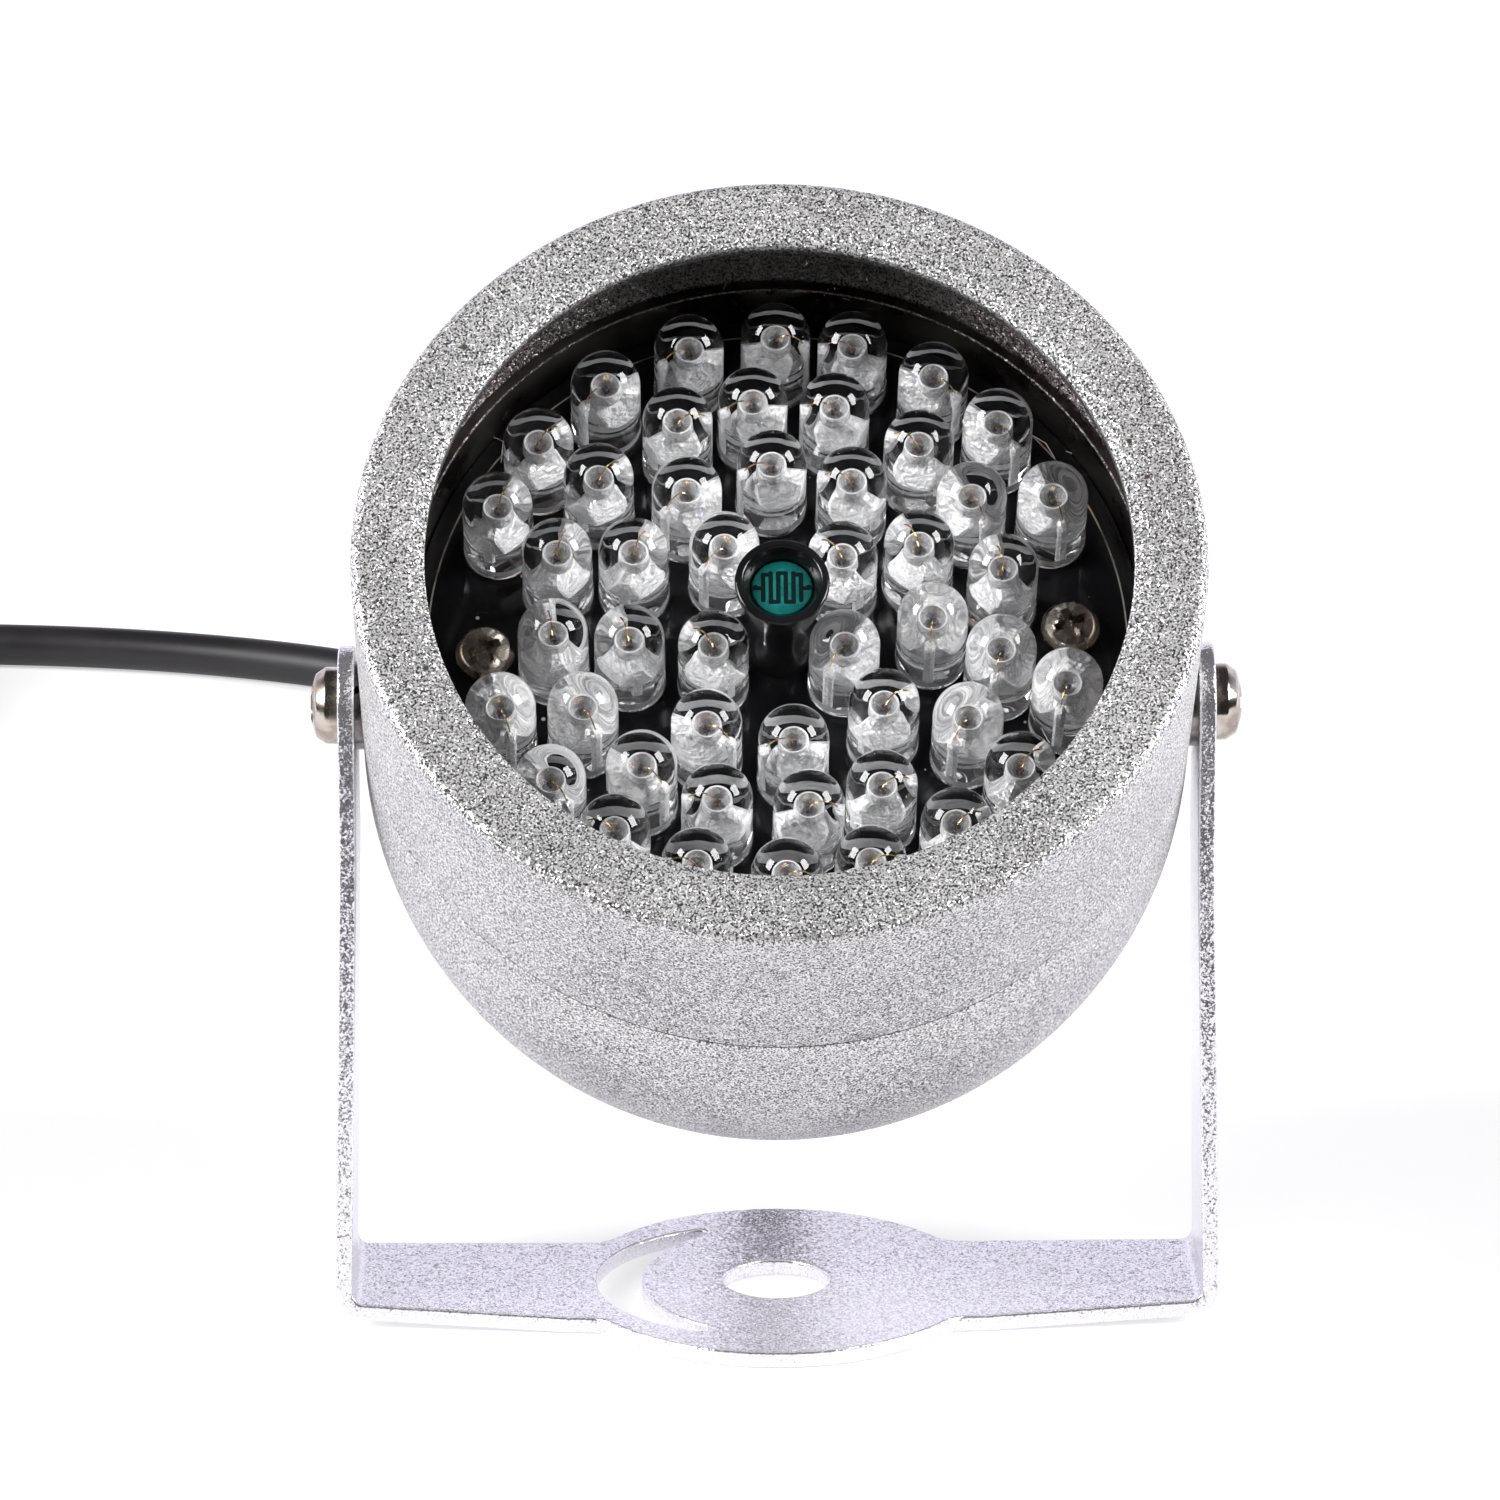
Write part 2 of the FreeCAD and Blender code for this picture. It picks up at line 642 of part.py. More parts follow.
def crescent_slot():
    """The curved slot beside the mounting hole, widest in the middle, with round ends."""
    outer_y = math.sqrt(SLOT_OUTER_R ** 2 - (SLOT_TIP_X - SLOT_OUTER_X) ** 2)
    inner_y = math.sqrt(SLOT_INNER_R ** 2 - (SLOT_TIP_X - SLOT_INNER_X) ** 2)
    tip_y = (outer_y + inner_y) / 2
    tip_x = SLOT_TIP_X + SLOT_TIP_BULGE
    face = outline(
        (SLOT_TIP_X, outer_y),
        (
            ((SLOT_OUTER_X - SLOT_OUTER_R, 0.0), (SLOT_TIP_X, -outer_y)),
            ((tip_x, -tip_y), (SLOT_TIP_X, -inner_y)),
            ((SLOT_INNER_X - SLOT_INNER_R, 0.0), (SLOT_TIP_X, inner_y)),
            ((tip_x, tip_y), (SLOT_TIP_X, outer_y)),
        ),
        lambda x, y: Vector(x, y, -SHEET_T),
    )
    return face.extrude(Vector(0, 0, 3 * SHEET_T))


def bracket():
    plan, split = bracket_plan()
    sheet = bracket_strip().common(plan.fuse(bracket_side(split)))
    sheet = sheet.cut(rod(MOUNTING_HOLE_R, 3 * SHEET_T, (0, 0, -SHEET_T)))
    sheet = sheet.cut(crescent_slot())
    hole = rod(PIVOT_SCREW_R + SCREW_HOLE_CLEARANCE, 4 * HEAD_R, (-2 * HEAD_R, 0, PIVOT_Z), (1, 0, 0))
    return sheet.cut(hole).removeSplitter()


def cable_grommet():
    bore = CABLE_R + CABLE_CLEARANCE
    flange_back = CABLE_SEAT - GROMMET_FLANGE_T
    neck_r = GROMMET_HOLE_R - CABLE_CLEARANCE
    return lathe(
        (bore, GROMMET_TIP),
        (
            (GROMMET_TIP_R, GROMMET_TIP),
            (GROMMET_TAIL_R, flange_back),
            (GROMMET_FLANGE_R, flange_back),
            (GROMMET_FLANGE_R, CABLE_SEAT),
            (neck_r, CABLE_SEAT),
            (neck_r, CAVITY_FLOOR),
            (GROMMET_INNER_R, CAVITY_FLOOR),
            (GROMMET_INNER_R, GROMMET_INNER_END),
            (bore, GROMMET_INNER_END),
        ),
    )


def cable_stub():
    """The end of the cable's jacket, inside the grommet and just past it."""
    return rod(CABLE_R, STUB_END - GROMMET_TIP, (0, 0, GROMMET_TIP))


def cable_tie():
    """A tie round the jacket, close behind the grommet, which takes the pull."""
    ring = rod(TIE_R, TIE_T, (0, 0, GROMMET_INNER_END))
    ring = ring.cut(rod(CABLE_R + CABLE_CLEARANCE, TIE_T, (0, 0, GROMMET_INNER_END)))
    lock = block((2 * TIE_T, TIE_T, TIE_T), (TIE_R + TIE_T / 2, 0, GROMMET_INNER_END))
    return ring.fuse(lock.cut(rod(TIE_R - TIE_T / 8, TIE_T, (0, 0, GROMMET_INNER_END))))


def path_edges(points):
    """Straight runs joined by tangent arcs, each arc taking a fixed share of the shorter run."""
    ends = [Vector(*p) for p in points]
    edges = []
    radii = []
    here = ends[0]
    for a, b, c in zip(ends, ends[1:], ends[2:]):
        u = (b - a).normalize()
        v = (c - b).normalize()
        half = u.getAngle(v) / 2
        trim = ARC_SHARE * min((b - a).Length, (c - b).Length)
        r = trim / math.tan(half)
        radii.append(r)
        start = b - u * trim
        end = b + v * trim
        centre = b + (v - u).normalize() * (r / math.cos(half))
        mid = centre + (b - centre).normalize() * r
        edges.append(Part.LineSegment(here, start).toShape())
        edges.append(Part.Arc(start, mid, end).toShape())
        here = end
    edges.append(Part.LineSegment(here, ends[-1]).toShape())
    return edges, radii


def tube(edges, r):
    """A round solid along the edges of a path."""
    wire = Part.Wire(edges)
    first = edges[0]
    start = first.valueAt(first.FirstParameter)
    along = first.tangentAt(first.FirstParameter)
    ring = Part.Wire([Part.makeCircle(r, start, along)])
    return wire.makePipeShell([ring], True, False), wire.Length


def power_wire(side):
    """From the end of the jacket to its pad on the back of the board."""
    start_x = side * CABLE_R / 2
    pad_x = side * WIRE_PAD_R
    points = (
        (start_x, 0, STUB_END),
        (start_x, 0, STUB_END + WIRE_KNEE_BACK / 2),
        (pad_x, 0, BOARD_BACK - WIRE_KNEE_BACK),
        (pad_x, 0, BOARD_BACK),
    )
    edges, _ = path_edges(points)
    solid, _ = tube(edges, WIRE_R)
    return solid


def cable_points():
    """The route from the grommet's tip: straight out, then the points chosen by hand."""
    start = [head_point(GROMMET_TIP), head_point(GROMMET_TIP - CABLE_FIRST_RUN)]
    return start + list(LEAD_ROUTE + RUN_ROUTE)


def free_cable():
    """The lead that bends with the head, and the rest that lies still, cut in the middle of a run."""
    edges, radii = path_edges(cable_points())
    print("cable radii", [round(r, 1) for r in radii])
    cut = 2 * (len(LEAD_ROUTE) + 1)
    run = edges[cut]
    a = run.valueAt(run.FirstParameter)
    b = run.valueAt(run.LastParameter)
    middle = (a + b) / 2
    lead = edges[:cut] + [Part.LineSegment(a, middle).toShape()]
    rest = [Part.LineSegment(middle, b).toShape()] + edges[cut + 1:]
    solids = []
    for part in (lead, rest):
        solid, length = tube(part, CABLE_R)
        ratio = solid.Volume / (math.pi * CABLE_R ** 2 * length)
        print("cable length", round(length, 1), "volume ratio", round(ratio, 4))
        solids.append(solid)
    return solids


def cable_coil():
    """The outer shape of the wound turns."""
    r = COIL_ROUND
    inner = COIL_MID_R - COIL_HALF_WIDTH
    outer = COIL_MID_R + COIL_HALF_WIDTH
    coil = lathe(
        (inner + r, 0),
        (
            (outer - r, 0),
            swing(outer - r, r, r, -90, 0),
            (outer, COIL_HEIGHT - r),
            swing(outer - r, COIL_HEIGHT - r, r, 0, 90),
            (inner + r, COIL_HEIGHT),
            swing(inner + r, COIL_HEIGHT - r, r, 90, 180),
            (inner, r),
            swing(inner + r, r, r, 180, 270),
        ),
    )
    coil.translate(Vector(COIL_X, COIL_Y, 0))
    return coil


def cable_tail():
    edges, radii = path_edges(TAIL_ROUTE)
    solid, length = tube(edges, CABLE_R)
    ratio = solid.Volume / (math.pi * CABLE_R ** 2 * length)
    print("tail radii", [round(r, 1) for r in radii], "length", round(length, 1), round(ratio, 4))
    return solid


def at_cable_end(shape):
    """From a frame with Z along the socket's axis, out of the cable's last point."""
    a = Vector(*TAIL_ROUTE[-2])
    b = Vector(*TAIL_ROUTE[-1])
    along = Vector(b.x - a.x, b.y - a.y, 0)
    shape = shape.copy()
    shape.Placement = FreeCAD.Placement(b, FreeCAD.Rotation(Vector(0, 0, 1), along))
    return shape


def socket_shell():
    """The moulded body of the inline socket, with its strain relief and open mouth."""
    total = SOCKET_TAIL + SOCKET_LENGTH
    return lathe(
        (0, 0),
        (
            (SOCKET_TAIL_R, 0),
            (SOCKET_NECK_R, SOCKET_TAIL),
            (SOCKET_R - SOCKET_ROUND, SOCKET_TAIL),
            swing(SOCKET_R - SOCKET_ROUND, SOCKET_TAIL + SOCKET_ROUND, SOCKET_ROUND, -90, 0),
            (SOCKET_R, total - SOCKET_ROUND),
            swing(SOCKET_R - SOCKET_ROUND, total - SOCKET_ROUND, SOCKET_ROUND, 0, 90),
            (SOCKET_BORE_R, total),
            (SOCKET_BORE_R, total - SOCKET_BORE_DEPTH),
            (0, total - SOCKET_BORE_DEPTH),
        ),
    )


def socket_contact():
    """The sprung sleeve that lines the socket's mouth."""
    floor = SOCKET_TAIL + SOCKET_LENGTH - SOCKET_BORE_DEPTH
    length = SOCKET_BORE_DEPTH - CONTACT_SHORT
    outer = SOCKET_BORE_R - CABLE_CLEARANCE
    return rod(outer, length, (0, 0, floor)).cut(rod(outer - CONTACT_T, length, (0, 0, floor)))


def socket_pin():
    floor = SOCKET_TAIL + SOCKET_LENGTH - SOCKET_BORE_DEPTH
    length = SOCKET_BORE_DEPTH - PIN_SHORT
    return lathe(
        (0, floor),
        (
            (PIN_R, floor),
            (PIN_R, floor + length - PIN_R),
            swing(0, floor + length - PIN_R, PIN_R, 0, 90),
        ),
    )


def main():
    os.makedirs("parts", exist_ok=True)
    lead, run = free_cable()
    head = {
        "front_bezel": front_bezel(),
        "seal_ring": seal_ring(),
        "rear_housing": rear_housing(),
        "diode_board": board(),
        "light_sensor": sensor(),
        "sensor_sleeve": sensor_sleeve(),
        "board_screw_right": board_screw(BOARD_SCREW_ANGLES[0]),
        "board_screw_left": board_screw(BOARD_SCREW_ANGLES[1]),
        "string_resistors": resistors(),
        "driver_transistor": transistor(),
        "guard_diode": guard_diode(),
        "pivot_screw_right": pivot_screw(1),
        "pivot_screw_left": pivot_screw(-1),
        "spring_washer_right": pivot_washer(1),
        "spring_washer_left": pivot_washer(-1),
        "cable_grommet": cable_grommet(),
        "cable_stub": cable_stub(),
        "cable_tie": cable_tie(),
        "red_wire": power_wire(1),
        "black_wire": power_wire(-1),
    }
    for number, string in enumerate(diode_strings(), 1):
        head["diode_string_%d" % number] = string
    parts = {name: on_head(shape) for name, shape in head.items()}
    parts["bracket"] = bracket()
    parts["cable_lead"] = lead
    parts["cable_run"] = run
    parts["cable_coil"] = cable_coil()
    parts["cable_tail"] = cable_tail()
    parts["socket_shell"] = at_cable_end(socket_shell())
    parts["socket_contact"] = at_cable_end(socket_contact())
    parts["socket_pin"] = at_cable_end(socket_pin())
    for name, shape in parts.items():
        shape.exportStep("parts/%s.step" % name)


main()
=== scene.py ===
import logging
import math
import random
from dataclasses import dataclass
from enum import Enum, IntEnum
from typing import Iterable, Sequence

import bmesh
import bpy
from mathutils import Matrix, Vector
from mathutils.geometry import delaunay_2d_cdt


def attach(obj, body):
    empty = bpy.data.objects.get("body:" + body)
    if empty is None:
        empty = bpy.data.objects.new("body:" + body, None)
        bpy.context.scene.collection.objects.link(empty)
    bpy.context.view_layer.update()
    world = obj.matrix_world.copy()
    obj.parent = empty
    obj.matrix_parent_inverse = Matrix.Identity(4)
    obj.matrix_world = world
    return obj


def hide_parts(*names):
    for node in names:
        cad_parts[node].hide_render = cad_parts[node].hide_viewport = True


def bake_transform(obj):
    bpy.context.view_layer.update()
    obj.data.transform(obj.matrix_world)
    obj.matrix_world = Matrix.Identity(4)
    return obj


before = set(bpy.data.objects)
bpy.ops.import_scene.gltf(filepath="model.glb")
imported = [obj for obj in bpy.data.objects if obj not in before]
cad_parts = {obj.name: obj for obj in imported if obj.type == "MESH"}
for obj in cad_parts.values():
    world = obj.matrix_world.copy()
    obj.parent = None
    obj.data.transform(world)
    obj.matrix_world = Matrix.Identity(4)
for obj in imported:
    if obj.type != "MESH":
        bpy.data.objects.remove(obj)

# Lengths are written in millimetres and become metres when a mesh is made.
MM = 0.001

# Heights along the lamp's axis: the board's two faces and the seam between the castings.
BOARD_TOP = 9.4
BOARD_BACK = 7.8
SEAM = 5.6

Colour = tuple[float, float, float, float]
Corner = tuple[float, float, float]
Flat = tuple[float, float]
Point = tuple[float, float, float]
Socket = bpy.types.NodeSocket

log = logging.getLogger("illuminator")


class Body(Enum):
    """The two bodies that the tilt joint holds together."""

    HEAD = "head"
    BRACKET = "bracket"


class Shading(Enum):
    """How a piece's faces meet: the largest angle, in degrees, that still looks smooth."""

    ROUND = 60.0
    TURNED = 28.0
    CRISP = 15.0


class Inside(IntEnum):
    """The material slots of what stands inside a diode."""

    FRAME = 0
    CHIP = 1
    GOLD = 2
    SOLDER = 3
    FROSTED = 4
    CUP = 5


@dataclass(frozen=True)
class LampPose:
    """Where the lamp's own frame, with Z along its axis, stands above the bracket's base.

    Args:
        tilt_deg: The axis's height above the horizon.
        pivot_z: Height of the pivot screws, in millimetres.
    """

    tilt_deg: float = 43.5
    pivot_z: float = 44.2

    def matrix(self) -> Matrix:
        """Turns the lamp's own frame into the bracket's, in millimetres."""
        turn = Matrix.Rotation(math.radians(90 - self.tilt_deg), 4, "X")
        return Matrix.Translation((0, 0, self.pivot_z)) @ turn

    def axis(self) -> Vector:
        """The direction in which the lamp looks."""
        return self.matrix().to_3x3() @ Vector((0, 0, 1))

    def on_axis(self, z: float) -> Point:
        """A point on the lamp's axis, in the bracket's frame."""
        return tuple(self.matrix() @ Vector((0, 0, z)))


POSE = LampPose()


def rounded(corners: Sequence[Corner], steps: int = 4) -> list[Flat]:
    """A profile whose corners are rounded.

    Args:
        corners: Radius, height and rounding radius at each corner.
        steps: Pieces in each rounding.

    Returns:
        Points of radius and height, in order, without the closing one.
    """
    line: list[Flat] = []
    for k, (x, y, r) in enumerate(corners):
        here = Vector((x, y))
        before = Vector(corners[k - 1][:2]) - here
        after = Vector(corners[(k + 1) % len(corners)][:2]) - here
        if r <= 0 or before.length < 1e-9 or after.length < 1e-9:
            line.append((x, y))
            continue
        before.normalize()
        after.normalize()
        half = before.angle(after) / 2
        if abs(half - math.pi / 2) < 1e-4:
            line.append((x, y))
            continue
        trim = r / math.tan(half)
        centre = here + (before + after).normalized() * (r / math.sin(half))
        a = here + before * trim - centre
        b = here + after * trim - centre
        turn = math.atan2(a.x * b.y - a.y * b.x, a.dot(b))
        for s in range(steps + 1):
            spun = Matrix.Rotation(turn * s / steps, 2) @ a
            line.append((centre.x + spun.x, centre.y + spun.y))
    return line


def arc(x: float, y: float, r: float, start: float, end: float, steps: int) -> list[Flat]:
    """Points on an arc about x, y, from one angle to another in degrees, both ends included."""
    turns = [math.radians(start + (end - start) * k / steps) for k in range(steps + 1)]
    return [(x + r * math.cos(a), y + r * math.sin(a)) for a in turns]


def ring(r: float, z: float, steps: int) -> list[Point]:
    """Points on a level circle about the Z axis."""
    turns = [math.tau * k / steps for k in range(steps)]
    return [(r * math.cos(a), r * math.sin(a), z) for a in turns]


def inset(loop: Sequence[Flat], amount: float, into: float = 1.0) -> list[Flat]:
    """Moves a closed outline sideways.

    Args:
        loop: Its points.
        amount: How far each side moves.
        into: 1 to move inward, as for an outline, and -1 outward, as for a hole.

    Returns:
        The moved points.
    """
    area = sum(a[0] * b[1] - b[0] * a[1] for a, b in zip(loop, list(loop[1:]) + [loop[0]]))
    sign = math.copysign(1.0, area) * into
    moved = []
    for k, here in enumerate(loop):
        before = Vector(here) - Vector(loop[k - 1])
        after = Vector(loop[(k + 1) % len(loop)]) - Vector(here)
        n1 = Vector((-before.y, before.x)).normalized()
        n2 = Vector((-after.y, after.x)).normalized()
        mean = (n1 + n2).normalized()
        step = amount / max(mean.dot(n1), 0.6)
        moved.append((here[0] + sign * mean.x * step, here[1] + sign * mean.y * step))
    return moved


def holds(loop: Sequence[Flat], x: float, y: float) -> bool:
    """Whether a closed outline goes round a point."""
    inside = False
    for (ax, ay), (bx, by) in zip(loop, list(loop[1:]) + [loop[0]]):
        if (ay > y) != (by > y) and x < (bx - ax) * (y - ay) / (by - ay) + ax:
            inside = not inside
    return inside


def spun_about(axis: str, degrees: float) -> Matrix:
    """A turn about one axis of the frame."""
    return Matrix.Rotation(math.radians(degrees), 4, axis)


def around(r: float, degrees: float, z: float) -> Matrix:
    """A move to a radius, an angle and a height about the Z axis."""
    a = math.radians(degrees)
    return Matrix.Translation((r * math.cos(a), r * math.sin(a), z))


def smooth(data: bpy.types.Mesh, shading: Shading) -> None:
    """Shades a mesh smoothly, with its edges sharp where they should be."""
    data.shade_smooth()
    data.set_sharp_from_angle(angle=math.radians(shading.value))


def linked(name: str, data: bpy.types.ID) -> bpy.types.Object:
    """Makes an object and puts it in the scene."""
    thing = bpy.data.objects.new(name, data)
    bpy.context.scene.collection.objects.link(thing)
    return thing


class Form:
    """The vertices and faces of one piece, in millimetres, before it becomes an object."""

    def __init__(self) -> None:
        """Starts with nothing."""
        self.verts: list[Vector] = []
        self.faces: list[tuple[int, ...]] = []
        self.slots: list[int] = []

    def add(self, points: Iterable[Sequence[float]], place: Matrix = Matrix()) -> list[int]:
        """Adds points after moving them with place.

        Args:
            points: Places in the form's own frame.
            place: The matrix that moves them.

        Returns:
            The new vertices' numbers.
        """
        first = len(self.verts)
        self.verts += [place @ Vector(p) for p in points]
        return list(range(first, len(self.verts)))

    def face(self, corners: Sequence[int], slot: int = 0) -> None:
        """Adds one face, left out where fewer than three corners differ."""
        kept = list(dict.fromkeys(corners))
        if len(kept) > 2:
            self.faces.append(tuple(kept))
            self.slots.append(slot)

    def skin(self, rows: Sequence[Sequence[int]], closed: bool, slot: int = 0) -> None:
        """Joins rings of vertices with faces.

        Args:
            rows: Rings of vertex numbers. A ring of one vertex is a tip.
            closed: Whether the last ring meets the first.
            slot: Material slot.
        """
        pairs = list(zip(rows, rows[1:]))
        if closed:
            pairs.append((rows[-1], rows[0]))
        for low, high in pairs:
            count = max(len(low), len(high))
            for k in range(count):
                n = (k + 1) % count
                a, b = low[k % len(low)], low[n % len(low)]
                c, d = high[n % len(high)], high[k % len(high)]
                self.face((a, b, c, d), slot)

    def lathe(self, profile: Sequence[Flat], segments: int, place: Matrix = Matrix(),
              closed: bool = False, slot: int = 0) -> None:
        """Turns a profile of radius and height about the form's Z axis."""
        rows = [self.add([(0, 0, z)] if r < 1e-6 else ring(r, z, segments), place) for r, z in profile]
        self.skin(rows, closed, slot)

    def capped(self, rows: Sequence[Sequence[int]], slot: int = 0) -> None:
        """Joins rings of vertices and closes both ends."""
        self.skin(rows, False, slot)
        self.face(rows[0], slot)
        self.face(rows[-1], slot)

    def tube(self, line: Sequence[Vector], radius: float, sides: int, place: Matrix = Matrix(),
             slot: int = 0) -> None:
        """A round tube along a line, with flat ends.

        Args:
            line: The points that it follows.
            radius: Its radius.
            sides: Vertices around it.
            place: The matrix that moves it.
            slot: Material slot.
        """
        turns = [math.tau * n / sides for n in range(sides)]
        last = len(line) - 1
        aside = (line[1] - line[0]).normalized().orthogonal().normalized()
        rows = []
        for k, here in enumerate(line):
            along = (line[min(k + 1, last)] - line[max(k - 1, 0)]).normalized()
            aside = (aside - along * aside.dot(along)).normalized()
            across = along.cross(aside)
            rows.append(self.add(
                [here + (aside * math.cos(a) + across * math.sin(a)) * radius for a in turns], place))
        self.capped(rows, slot)

    def block(self, size: Point, centre: Point, place: Matrix, edge: float, slot: int = 0) -> None:
        """A box with rounded upright edges and a broken rim, standing on centre."""
        x, y, z = size[0] / 2, size[1] / 2, size[2]
        signs = ((1, 1), (-1, 1), (-1, -1), (1, -1))
        steps = 2
        outline = rounded([(x * a, y * b, edge) for a, b in signs], steps)
        rim = [((x - edge) * a, (y - edge) * b) for a, b in signs for _ in range(steps + 1)]
        rows = [self.add([(centre[0] + a, centre[1] + b, centre[2] + height) for a, b in level], place)
                for level, height in ((outline, 0.0), (outline, z - edge), (rim, z))]
        self.skin(rows, False, slot)
        self.face(rows[0], slot)
        self.face(rows[-1][::steps + 1], slot)

    def slab(self, loop: Sequence[Flat], thick: float, place: Matrix, edge: float,
             flare: float = 0.0) -> None:
        """A stamped plate standing in the XZ plane, its edges broken.

        Args:
            loop: Its outline, as x and z.
            thick: Its thickness at the top.
            place: The matrix that moves it.
            edge: Width of the broken edges.
            flare: How much each side moves out for each millimetre downward.
        """
        top = max(z for _, z in loop)
        rows = []
        for side, back, amount in ((-1, 0.0, edge), (-1, edge, 0.0), (1, edge, 0.0), (1, 0.0, edge)):
            moved = inset(loop, amount) if amount > 0 else loop
            rows.append(self.add(
                [(x, side * (thick / 2 - back + flare * (top - z)), z) for x, z in moved], place))
        self.capped(rows)

    def mesh(self, name: str, shading: Shading) -> bpy.types.Mesh:
        """The finished mesh in metres, with its normals outward."""
        data = bpy.data.meshes.new(name)
        data.from_pydata([tuple(v * MM) for v in self.verts], [], self.faces)
        data.polygons.foreach_set("material_index", self.slots)
        work = bmesh.new()
        work.from_mesh(data)
        bmesh.ops.remove_doubles(work, verts=work.verts, dist=1e-7)
        bmesh.ops.recalc_face_normals(work, faces=work.faces)
        work.to_mesh(data)
        work.free()
        smooth(data, shading)
        return data

    def piece(self, name: str, body: Body, finishes: Sequence[bpy.types.Material],
              shading: Shading = Shading.TURNED) -> bpy.types.Object:
        """Makes the object, gives it its finishes and puts it on its body.

        Args:
            name: The piece's name.
            body: The body that it moves with.
            finishes: A material for each slot used.
            shading: How its faces meet.

        Returns:
            The new object.
        """
        thing = linked(name, self.mesh(name, shading))
        for finish in finishes:
            thing.data.materials.append(finish)
        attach(thing, body.value)
        log.info("%s: %d faces on %s", name, len(thing.data.polygons), body.value)
        return thing


def settle(thing: bpy.types.Object) -> None:
    """Turns an object's modifiers into its mesh."""
    bpy.context.view_layer.update()
    graph = bpy.context.evaluated_depsgraph_get()
    old = thing.data
    thing.data = bpy.data.meshes.new_from_object(thing.evaluated_get(graph))
    thing.modifiers.clear()
    bpy.data.meshes.remove(old)


def carve(thing: bpy.types.Object, cutter: Form) -> None:
    """Cuts a form out of a piece.

    Args:
        thing: The piece that loses material.
        cutter: What is taken out.
    """
    tool = linked("cutter", cutter.mesh("cutter", Shading.CRISP))
    cut = thing.modifiers.new("cut", "BOOLEAN")
    cut.operation = "DIFFERENCE"
    cut.solver = "EXACT"
    cut.object = tool
    settle(thing)
    bpy.data.objects.remove(tool)
    smooth(thing.data, Shading.TURNED)


class Graph:
    """A node tree, with short calls that add to it."""

    def __init__(self, tree: bpy.types.NodeTree) -> None:
        """Takes the tree that it adds to."""
        self.tree = tree
        self._place: Socket | None = None

    def node(self, kind: str, **values: object) -> bpy.types.Node:
        """Adds a node and sets its own options."""
        node = self.tree.nodes.new(kind)
        for name, value in values.items():
            setattr(node, name, value)
        return node

    def feed(self, target: Socket, source: Socket | float | Sequence[float]) -> None:
        """Links a socket, or sets it where the source is a number or a vector."""
        if isinstance(source, bpy.types.NodeSocket):
            self.tree.links.new(source, target)
        else:
            target.default_value = source

    def place(self) -> Socket:
        """The piece's own coordinates, in metres."""
        if self._place is None:
            self._place = self.node("ShaderNodeTexCoord").outputs["Object"]
        return self._place

    def math(self, operation: str, *values: Socket | float, clamp: bool = False) -> Socket:
        """A Math node on one, two or three values."""
        node = self.node("ShaderNodeMath", operation=operation, use_clamp=clamp)
        for target, value in zip(node.inputs, values):
            self.feed(target, value)
        return node.outputs[0]

    def vector(self, operation: str, *values: Socket | Sequence[float] | float) -> bpy.types.Node:
        """A Vector Math node on its inputs in order."""
        node = self.node("ShaderNodeVectorMath", operation=operation)
        for target, value in zip(node.inputs, values):
            self.feed(target, value)
        return node

    def mix(self, share: Socket | float, first: Socket | Colour, second: Socket | Colour,
            blend: str = "MIX") -> Socket:
        """Mixes two colours."""
        node = self.node("ShaderNodeMix", data_type="RGBA", blend_type=blend)
        self.feed(node.inputs[0], share)
        self.feed(node.inputs[6], first)
        self.feed(node.inputs[7], second)
        return node.outputs[2]

    def span(self, value: Socket, low: float, high: float, to_low: float = 0.0,
             to_high: float = 1.0, smooth: bool = True) -> Socket:
        """Maps a value from one range to another, held at the ends."""
        node = self.node("ShaderNodeMapRange",
                         interpolation_type="SMOOTHSTEP" if smooth else "LINEAR", clamp=True)
        for target, number in zip(node.inputs, (value, low, high, to_low, to_high)):
            self.feed(target, number)
        return node.outputs[0]

    def scaled(self, vector: Socket, by: Socket | float) -> Socket:
        """A vector made longer or shorter."""
        node = self.node("ShaderNodeVectorMath", operation="SCALE")
        self.feed(node.inputs[0], vector)
        self.feed(node.inputs["Scale"], by)
        return node.outputs[0]

    def noise(self, scale: Socket | float, detail: float = 2.0) -> Socket:
        """Noise over the piece, with its scale per metre."""
        node = self.node("ShaderNodeTexNoise")
        self.feed(node.inputs["Vector"], self.place())
        self.feed(node.inputs["Scale"], scale)
        self.feed(node.inputs["Detail"], detail)
        return node.outputs[0]

    def cells(self, scale: Socket | float) -> tuple[bpy.types.Node, bpy.types.Node]:
        """Cells over the piece, and the random numbers of each cell."""
        node = self.node("ShaderNodeTexVoronoi", feature="F1")
        self.feed(node.inputs["Vector"], self.place())
        self.feed(node.inputs["Scale"], scale)
        parts = self.node("ShaderNodeSeparateColor")
        self.feed(parts.inputs[0], node.outputs["Color"])
        return node, parts

    def group(self, tree: bpy.types.NodeTree,
              **values: Socket | float | Sequence[float]) -> bpy.types.Node:
        """Places a shared effect with this material's own values."""
        node = self.node("ShaderNodeGroup", node_tree=tree)
        for name, value in values.items():
            self.feed(node.inputs[name.replace("_", " ")], value)
        return node

    def bump(self, height: Socket, strength: float, distance: float,
             normal: Socket | None = None) -> Socket:
        """A Bump node on a height."""
        node = self.node("ShaderNodeBump")
        node.inputs["Strength"].default_value = strength
        node.inputs["Distance"].default_value = distance
        self.feed(node.inputs["Height"], height)
        if normal is not None:
            self.feed(node.inputs["Normal"], normal)
        return node.outputs[0]


